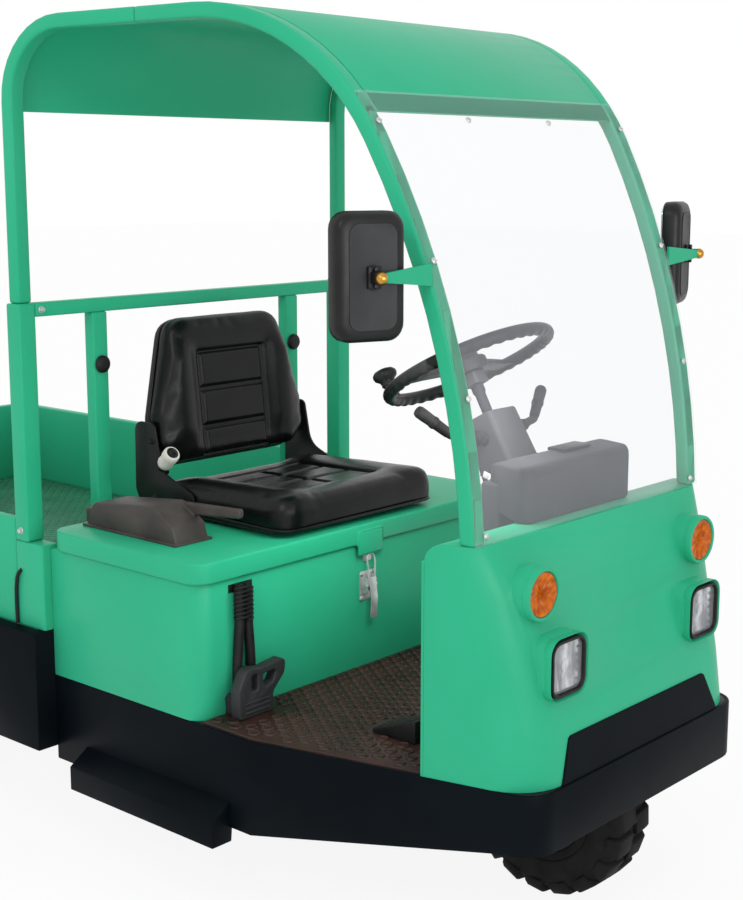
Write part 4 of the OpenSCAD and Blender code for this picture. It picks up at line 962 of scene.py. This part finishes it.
dress(weld(levers, "switch_levers"), "black_rubber")
print("column pieces done")

# %% [markdown]
# ## Dashboard
# The dash is one moulding whose corners are already in its solid. The driver's side gets what a driver
# needs: a charge gauge with its bezel, a key switch and two push buttons, all turned and set square on the
# sloping face.

# %% Instruments
def on_dash(y, z):
    return touch("dash", (0.9, y, z), X_WAY)


gauge_at = on_dash(0.105, 0.868)
key_at = on_dash(-0.15, 0.868)
parts = [lathe("gauge_bezel", [(0, 2), (24.5, 2), (25.5, 6), (28.5, 6.8), (30.5, 4), (30.5, -1)], gauge_at)]
BUTTON = [(0, 7), (7.5, 6.8), (9, 5), (9, 2.5), (12.5, 2.2), (13.5, -1)]
for y in (-0.075, -0.115):
    parts.append(lathe("push_button", BUTTON, on_dash(y, 0.87), 24))
parts.append(box_piece("dash_hood", (1.15, 0.002, 0.905), (1.192, 0.096, 0.9125), 0.003))
for piece in parts:
    shade(piece, 35)
dress(weld(parts, "dash_fittings"), "lever_black")
dress(box_piece("dash_skirt", (1.1285, -0.184, 0.768), (1.1705, 0.184, 0.868), 0.006, 3), "cab_plastic")
barrel = lathe("key_barrel", [(0, 6), (8, 6), (10.5, 4), (11.5, -1)], key_at, 24)
blade = box_piece("key_blade", (-0.0012, -0.006, 0.004), (0.0012, 0.006, 0.024), 0.0005)
dress(weld([shade(barrel), shade(place(blade, key_at))], "key_switch"), "zinc")
dress(lathe("gauge_face", [(0, 3.2), (23.8, 3), (23.8, 1)], gauge_at, 32), "knob_white")
print("dash fittings done")

# %% [markdown]
# ## Lamps
# A headlamp is a black rubber rim, a bright dish and a fluted glass in front of it, all inside a green
# sleeve on the nose. Sleeve and rim are plates whose front face is inset and pushed back, the dish is a grid
# sunk in the middle, and the flutes are in the glass's skin. The indicators are faceted cones in green cups,
# each under a clear amber dome.

# %% Headlamps
LAMP_Y, LAMP_Z = 0.241, 0.569


def lamp_plate(name, half, radius, thickness, x):
    """A square plate with round corners in front of the nose, at the headlamp's place."""
    outline = round_rect((-half, -half), (half, half), radius)
    return plate(name, outline, thickness, facing_x(x, LAMP_Y, LAMP_Z))


sleeve = sink(lamp_plate("headlamp_sleeve", 0.0595, 0.03, 0.0195, 1.362), X_WAY, [0.0062], 0.014)
dress_pair(shade(soften(sleeve, 0.0018, 3)), "headlamp_sleeves", "green_gloss")
rim = sink(lamp_plate("headlamp_rim", 0.0525, 0.024, 0.015, 1.3655), X_WAY, [0.005, 0.0015], 0.0122)
dress_pair(shade(soften(rim, 0.0014, 3)), "headlamp_rims", "black_rubber", "headlamps")
put_down()
bpy.ops.mesh.primitive_grid_add(x_subdivisions=36, y_subdivisions=36, size=0.09)
dish = named("headlamp_dish")
for v in dish.data.vertices:
    v.co.z = 0.0018 * (v.co.x ** 2 + v.co.y ** 2) / 0.043 ** 2 + 0.0006 * math.sin(v.co.y * 420)
place(dish, facing_x(1.3688, LAMP_Y, LAMP_Z))
BULB = [(0, 3.4), (8, 3.2), (12.5, 2), (12.5, 0)]
bulb = lathe("headlamp_bulb", BULB, facing_x(1.3686, LAMP_Y, LAMP_Z), 26)
dress_pair(weld([shade(dish, 60), shade(bulb)], "headlamp_dish"), "headlamp_dishes", "reflector_chrome")
lens = lamp_plate("headlamp_glass", 0.0462, 0.018, 0.0014, 1.3728)
dress_pair(shade(soften(lens, 0.0006)), "headlamp_glasses", "lamp_glass", "headlamp_lenses")
print("headlamps done")

# %% Indicators and rear lamps
turn_at = facing_x(1.334, 0.278, 0.705)
FACETS, FACET_DEPTH = 14, 0.0013
cone = lathe("indicator_cone", [(0, 3.5), (6, 4), (20, 7), (34, 10.2), (40.5, 11.5), (41.8, 10), (41.8, 0)],
             steps=2 * FACETS)
for v in cone.data.vertices:
    if 0.005 < math.hypot(v.co.x, v.co.y) < 0.036:
        v.co.z += FACET_DEPTH * (-1) ** round(math.atan2(v.co.y, v.co.x) * FACETS / math.pi)
place(cone, turn_at)
CUP = [(42.4, 0), (42.4, 12.5), (44, 14.2), (48.2, 13.8), (50, 11.2), (50.2, 0)]
dress_pair(shade(lathe("indicator_cup", CUP, turn_at, 44)), "indicator_cups", "green_gloss")
dome = lathe("indicator_dome", [(0, 16), (14, 15.6), (28, 14.3), (37, 12), (40.5, 11.6)], turn_at)
dress_pair(cone, "indicator_cones", "amber", "indicators")
dress_pair(shade(dome, 60), "indicator_domes", "amber_glass")
rear_at = facing_x(-1.312, 0.46, 0.3245) @ FLIP_Z
LENS = [(0, 21.5), (12, 21.3), (13, 20.5), (24, 19.5), (25, 18.5), (34, 16), (38.5, 12), (38.5, 0)]
dress_pair(shade(lathe("rear_lens", LENS, rear_at), 25), "rear_lenses", "stop_red", "rear_lamps")
ring = lathe("rear_ring", [(38.5, 12), (41, 13.5), (44.5, 11), (45, 0)], rear_at)
dress_pair(shade(ring), "rear_lamp_rings", "black_rubber")
print("indicators and rear lamps done")

# %% [markdown]
# ## Mirrors
# Each mirror is a moulded shell with a raised panel on its back, held by a ball in a small clamp
# at the tip of a green arm. The shell keeps its solid with a wide soft edge, and the panel is laid on it.

# %% Mirror shells
MIRROR = shift(1.175, 0.523, 1.272) @ turn(20, "Z")
dress(from_solid("mirror_housings", 0.005, 4), "lever_black", "mirror_housings")
panel_line = round_rect((-0.046, -0.09), (0.046, 0.09), 0.02, 7)
panel = plate("mirror_panel", panel_line, 0.0035, MIRROR @ facing_x(-0.031))
sink(panel, MIRROR.to_3x3() @ X_WAY, [0.004], 0.0015)
dress_pair(shade(soften(panel, 0.001)), "mirror_panels", "cab_plastic")
clamp = [box_piece("clamp_plate", (-0.029, -0.013, -0.019), (-0.022, 0.013, 0.019), 0.002),
         box_piece("clamp_jaw", (-0.023, -0.009, -0.01), (-0.004, 0.009, 0.01), 0.002)]
clamp += [copy_at(bolt_m6, facing_x(-0.022, 0, z)) for z in (-0.014, 0.014)]
dress_pair(place(weld(clamp, "mirror_clamp"), MIRROR), "mirror_clamps", "lever_black")
BALL = [(0, 11.2), (4.5, 10.4), (8.2, 7.8), (10.6, 3.8), (11.3, 0), (10.6, -3.8), (8.2, -7.8), (7, -9),
        (6.8, -20), (0, -20)]
dress_pair(shade(lathe("mirror_ball", BALL, MIRROR @ TO_X, 28), 60), "mirror_balls", "brass")
print("mirrors done")

# %% [markdown]
# ## Latch of the seat lid
# The toggle latch is a small zinc-plated assembly: a base with two ears, a wire loop that hooks over
# the keeper, and a lever that pulls the loop tight. Wire is bent along points, and sheet is cut
# from outlines, so that the latch reads as the thin steel it is.
# The two rubber buffers on the guard behind the backrest are turned knobs.

# %% Toggle latch
SEAT_BOX_FACE = 0.673
EAR = round_off([(0.675, 0.526, 0.003), (0.69, 0.532, 0.006), (0.69, 0.562, 0.006), (0.675, 0.572, 0.003)])
LEVER = [(0.6885, 0.566), (0.692, 0.566), (0.6985, 0.52), (0.696, 0.474), (0.693, 0.474), (0.695, 0.52)]
BASE = round_rect((-0.024, 0.512), (0.024, 0.578), 0.005)
KEEPER = round_rect((-0.014, 0.6), (0.014, 0.63), 0.003)
sheets = [plate("latch_base", BASE, 0.0025, facing_x(SEAT_BOX_FACE)),
          plate("latch_lever", LEVER, 0.02, shift(0, 0.01, 0) @ STAND_Y),
          plate("latch_keeper", KEEPER, 0.002, facing_x(0.6735))]
sheets += [plate("latch_ear", EAR, 0.002, shift(0, y, 0) @ STAND_Y) for y in (-0.013, 0.015)]
for piece in sheets:
    shade(soften(piece, 0.0006))
half = [(0.688, -0.0105, 0.545), (0.6885, -0.0105, 0.58), (0.6845, -0.0105, 0.612), (0.683, -0.006, 0.6165)]
loop = tube("latch_loop", half + [(x, -y, z) for x, y, z in reversed(half)], 0.0021)
axle = lathe("latch_axle", [(0, -18), (4, -18), (4, 18), (0, 18)], shift(0.686, 0, 0.547) @ TO_Y, 16)
rivets = [copy_at(glass_screw, facing_x(0.6755, y, z)) for y in (-0.019, 0.019) for z in (0.5175, 0.5725)]
dress(weld(sheets + [loop, shade(axle)] + rivets, "toggle_latch"), "zinc", "lid_latch")
print("latch of", len(sheets), "sheets")

# %% Buffers behind the backrest
BUFFER = [(0, 13.5), (10, 13.2), (16.5, 11.2), (19.5, 7.8), (19.8, 4.5), (17.5, 1.5), (12, 0.6), (0, 0.6)]
knob = lathe("buffer_knob", BUFFER, facing_x(0.1485, 0.305, 1.023), 36)
dress_pair(shade(knob, 60), "buffer_knobs", "black_rubber", "lid_buffers")
print("buffers done")

# %% [markdown]
# ## Battery connector
# The connector stands on the mat with a pull handle over it, and its two leads run up the seat box
# into a slot below the lid, whose dark opening is painted shade on a thin black box. A spiral wrap ties the
# leads together at the top. The leads are held by the box all the way, so they are bent tubes and not loose
# cords.

# %% Connector
BODY = [(-0.432, 0.3622, 0.003), (-0.346, 0.3622, 0.003), (-0.346, 0.404, 0.01), (-0.432, 0.404, 0.01)]
HANDLE = [(-0.446, 0.3622, 0.008), (-0.35, 0.3622, 0.006), (-0.35, 0.402, 0.016), (-0.318, 0.434, 0.02),
          (-0.312, 0.468, 0.012), (-0.383, 0.46, 0.04), (-0.424, 0.468, 0.022), (-0.448, 0.424, 0.03)]
WINDOWS = ([(-0.411, 0.416, 0.004), (-0.395, 0.416, 0.004), (-0.394, 0.449, 0.004), (-0.411, 0.449, 0.004)],
           [(-0.374, 0.416, 0.006), (-0.352, 0.424, 0.006), (-0.34, 0.448, 0.006), (-0.381, 0.446, 0.006)])
body = soften(plate("plug_body", round_off(BODY), 0.04, facing_x(0.6732)), 0.003, 3)
handle = plate("plug_handle", round_off(HANDLE), 0.026, facing_x(0.706))
for corners in WINDOWS:
    hole = plate("handle_hole", round_off(corners), 0.06, facing_x(0.69))
    use_modifier(handle, "BOOLEAN", operation="DIFFERENCE", object=hole)
    drop(hole)
soften(handle, 0.0032, 3)
plug = [shade(body), shade(handle)]
plug.append(box_piece("plug_collar", (0.6745, -0.4345, 0.39), (0.712, -0.3435, 0.3975), 0.002))
for z in (0.372, 0.382, 0.392):
    plug.append(box_piece("grip_rib", (0.73, -0.432, z), (0.7338, -0.362, z + 0.0045), 0.0015))
dress(weld(plug, "dressed_battery_plug"), "cab_plastic", "battery_plug")
print("connector of", len(plug), "parts")

# %% Leads and wrap
LEAD_Y = -0.388
LEAD_LINE = [(0.685, 0.019, 0.4), (0.685, 0.019, 0.45), (0.6856, 0.0155, 0.505), (0.6858, 0.0115, 0.555),
             (0.685, 0.0112, 0.6), (0.6848, 0.0112, 0.6295)]
WRAP_TURNS, WRAP_STEPS = 8, 12
WRAP_FOOT, WRAP_LENGTH = 0.553, 0.072
leads = []
for s in SIDES:
    leads.append(tube("battery_lead", [(x, LEAD_Y + s * apart, z) for x, apart, z in LEAD_LINE], 0.0104))
wrap = []
for k in range(WRAP_TURNS * WRAP_STEPS + 1):
    a = 2 * math.pi * k / WRAP_STEPS
    rise = WRAP_LENGTH * k / (WRAP_TURNS * WRAP_STEPS)
    wrap.append((0.6862 + 0.0108 * math.cos(a), LEAD_Y + 0.022 * math.sin(a), WRAP_FOOT + rise))
leads.append(tube("lead_wrap", wrap, 0.0032, turns=4))
dress(weld(leads, "dressed_battery_leads"), "black_rubber", "battery_leads")
# The slot is not cut: a thin black box on the seat box face paints the shade inside it.
dress(box_piece("lead_slot_painted_shade", (0.6725, -0.418, 0.612), (0.6742, -0.352, 0.629), 0.0005), "lever_black")
print("leads with a wrap of", WRAP_TURNS, "turns")

# %% [markdown]
# ## Floor mat
# The rubber mat carries rows of raised coins, the rows set half a step apart. One coin is turned with a
# slightly dished top, and copied wherever the whole coin lies on the mat: straight lines are shot down
# at its rim to find out.

# %% Coins of the mat
MAT_TOP = 0.362
COIN_R = 0.0125
COIN_MARGIN = 1.3 * COIN_R
ROW_STEP, COIN_STEP = 0.0262, 0.0362
PEDAL_PLACE = ((0.965, -0.313, 0), (1.171, -0.239, 1))
SEAT_BOX_FOOT = ((0.6, -0.6, 0), (0.6755, 0.6, 1))
CLEAR_OF = [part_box("battery_plug"), PEDAL_PLACE, SEAT_BOX_FOOT]
coin = lathe("mat_coin", [(0, 1.4), (9.5, 1.6), (10.875, 3.1), (12, 2.7), (13, -0.4)], steps=18)
shade(coin, 60)


def on_mat(x, y):
    for low, high in CLEAR_OF:
        if low[0] - COIN_R < x < high[0] + COIN_R and low[1] - COIN_R < y < high[1] + COIN_R:
            return False
    for k in range(8):
        a = math.pi * k / 4
        above = Vector((x + COIN_MARGIN * math.cos(a), y + COIN_MARGIN * math.sin(a), 1))
        hit = tree_of("floor_mat").ray_cast(above, -Z_WAY)[0]
        if hit is None or hit.z < MAT_TOP - 0.001:
            return False
    return True


coins = []
for row in range(20):
    x = 0.692 + ROW_STEP * row
    for col in range(-14, 15):
        y = COIN_STEP * (col + 0.5 * (row % 2))
        if on_mat(x, y):
            coins.append(copy_at(coin, shift(x, y, MAT_TOP)))
print("coins:", len(coins))
drop(coin)
dress(weld([from_solid("floor_mat", 0.0012)] + coins, "dressed_floor_mat"), "mat_rubber", "floor_mat")

# %% [markdown]
# ## Bed
# The bed is floored with tread plate: small lens-shaped lugs, each at a right angle to its neighbours.
# One lug of each direction is drawn, and two array modifiers lay them out over the plate.
# The tailgate is a plain panel with three pressed ribs and a bent handle on each side.

# %% Tread plate
LUG_STEP = 0.034
LUG_OUTLINE = round_off([(-0.0125, 0, 0), (0, -0.0042, 0.006), (0.0125, 0, 0), (0, 0.0042, 0.006)], 2)
LUG_HEIGHT, LUG_TOP = 0.0019, (0.72, 0.72, 1)
low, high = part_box("bed_plate")
lugs = []
for angle, start in ((45, 0), (-45, LUG_STEP / 2)):
    at = shift(low[0] + 0.022 + start, low[1] + 0.02, high[2] - 0.0004) @ turn(angle, "Z")
    lug = plate("tread_lug", LUG_OUTLINE, LUG_HEIGHT, at)
    taper(lug, Z_WAY, LUG_TOP, at.translation)
    along = int((high[0] - low[0] - 0.04 - start) / LUG_STEP)
    across = int((high[1] - low[1] - 0.03) / LUG_STEP * 2) // 2
    for count, step in ((along, (LUG_STEP, 0, 0)), (across, (0, LUG_STEP, 0))):
        use_modifier(lug, "ARRAY", count=count, use_relative_offset=False, use_constant_offset=True,
                     constant_offset_displace=step)
    between = shift(LUG_STEP / 2 if start == 0 else -LUG_STEP / 2, LUG_STEP / 2, 0)
    lugs += [lug, copy_at(lug, between)]
dress(weld([from_solid("bed_plate", 0.001)] + lugs, "dressed_bed_plate"), "bed_green", "bed_plate")
print("tread plate done")

# %% Tailgate
GATE_FACE = -1.3115
RIB_HALF, RIB_FOOT, RIB_TOP, RIB_DEPTH = 0.035, 0.475, 0.682, 0.01
HANDLE_Y = 0.455
HANDLE_LINE = [(-1.313, 0.64), (-1.33, 0.64), (-1.334, 0.63), (-1.334, 0.56), (-1.33, 0.55), (-1.313, 0.55)]
gate = [from_solid("tailgate", 0.004, 3)]
for y in (-0.33, 0, 0.33):
    outline = round_rect((y - RIB_HALF, RIB_FOOT), (y + RIB_HALF, RIB_TOP), 0.004)
    rib = plate("gate_rib", outline, -RIB_DEPTH, facing_x(GATE_FACE))
    taper(rib, -X_WAY, (1, 0.72, 0.93), (GATE_FACE - RIB_DEPTH, y, (RIB_FOOT + RIB_TOP) / 2))
    gate.append(shade(soften(rib, 0.002)))
dress(weld(gate, "dressed_tailgate"), "green_gloss", "tailgate")
handles = []
for s in SIDES:
    handles.append(tube("gate_latch", [(x, s * HANDLE_Y, z) for x, z in HANDLE_LINE], 0.0055))
    handles += [copy_at(bolt_m6, facing_x(-1.3122, s * HANDLE_Y, z) @ FLIP_Z) for z in (0.658, 0.532)]
dress(weld(handles, "gate_latches"), "zinc")
print("tailgate done")

# %% [markdown]
# ## Pedals
# Both pedals have ribbed rubber treads. The ribs are thin bars across the plate, softened and joined to it.

# %% Pedal treads
TREAD_START, TREAD_RUN, TREAD_RISE = 0.966, 0.102, 0.038
pedals = [from_solid("pedals", 0.0022)]
for k in range(6):
    x = 0.978 + 0.016 * k
    z = MAT_TOP + 0.008 + (x - TREAD_START) / TREAD_RUN * TREAD_RISE
    pedals.append(box_piece("pedal_rib", (x, -0.306, z - 0.003), (x + 0.006, -0.246, z + 0.003), 0.001))
for k in range(4):
    z = 0.492 + 0.0125 * k
    pedals.append(box_piece("brake_rib", (1.0485, -0.262, z), (1.0525, -0.198, z + 0.006), 0.0012))
dress(weld(pedals, "dressed_pedals"), "black_rubber", "pedals")
print("pedals done")

# %% [markdown]
# ## Light
# The photograph is a catalogue picture on white. A plain white world lights from all round, a small bright
# lamp high on the right draws the highlights, a low one stands near the camera, a small one opens up the
# footwell, and one in front only draws a sheen on the vinyl. The floor glows white where the camera, a mirror
# or the glass looks straight at it, apart from a tenth that is left to the paper, so it takes a faint shadow.

# %% Studio
WHITE = (1, 1, 1, 1)
bpy.context.scene.view_settings.view_transform = "Standard"
world = bpy.data.worlds.new("studio")
bpy.context.scene.world = world
world.use_nodes = True
sky = world.node_tree.nodes["Background"]
sky.inputs["Color"].default_value = WHITE
sky.inputs["Strength"].default_value = 1.0


def soft_light(name, spot, aim, size, power, unseen_by=()):
    put_down()
    way = Vector(aim) - Vector(spot)
    bpy.ops.object.light_add(type="AREA", location=spot, rotation=way.to_track_quat("-Z", "Y").to_euler())
    lamp = bpy.context.object
    lamp.name = name
    lamp.data.shape = "DISK"
    lamp.data.size = size
    lamp.data.energy = power
    for ray in unseen_by:
        setattr(lamp, "visible_" + ray, False)
    print(name, "gives", power, "W")


soft_light("key", (2.2, -4.6, 4.0), (0.3, 0, 0.8), 1.0, 40)
soft_light("fill", (4.2, -2.6, 1.6), (0.6, 0, 0.6), 1.6, 18)
soft_light("cab_light", (1.08, -0.16, 1.02), (0.673, -0.05, 0.48), 0.35, 3.2, ("camera", "glossy"))
soft_light("sheen", (4.0, -0.9, 1.3), (0.3, -0.1, 0.95), 1.1, 34, ("camera", "diffuse"))

# %% Floor
GLOW_SHARE = 0.9
put_down()
bpy.ops.mesh.primitive_plane_add(size=60, location=(0, 0, 0))
floor = named("studio_floor")
paper = bpy.data.materials.new("white_paper")
paper.use_nodes = True
tree = paper.node_tree
shader = tree.nodes["Principled BSDF"]
shader.inputs["Base Color"].default_value = (0.86, 0.86, 0.86, 1)
shader.inputs["Roughness"].default_value = 0.9
shader.inputs["Specular IOR Level"].default_value = 0.0
glow = tree.nodes.new("ShaderNodeEmission")
glow.inputs["Color"].default_value = WHITE
path = tree.nodes.new("ShaderNodeLightPath")
looked_at = path.outputs["Is Camera Ray"]
for ray in ("Is Glossy Ray", "Is Transmission Ray"):
    either = tree.nodes.new("ShaderNodeMath")
    either.operation = "MAXIMUM"
    tree.links.new(looked_at, either.inputs[0])
    tree.links.new(path.outputs[ray], either.inputs[1])
    looked_at = either.outputs[0]
part = tree.nodes.new("ShaderNodeMath")
part.operation = "MULTIPLY"
part.inputs[1].default_value = GLOW_SHARE
share = tree.nodes.new("ShaderNodeMixShader")
tree.links.new(looked_at, part.inputs[0])
tree.links.new(part.outputs[0], share.inputs["Fac"])
tree.links.new(shader.outputs["BSDF"], share.inputs[1])
tree.links.new(glow.outputs["Emission"], share.inputs[2])
tree.links.new(share.outputs["Shader"], tree.nodes["Material Output"].inputs["Surface"])
floor.data.materials.append(paper)

# %% Put the templates away and finish
for template in (bolt_m10, bolt_m6, glass_screw):
    drop(template)
put_down()
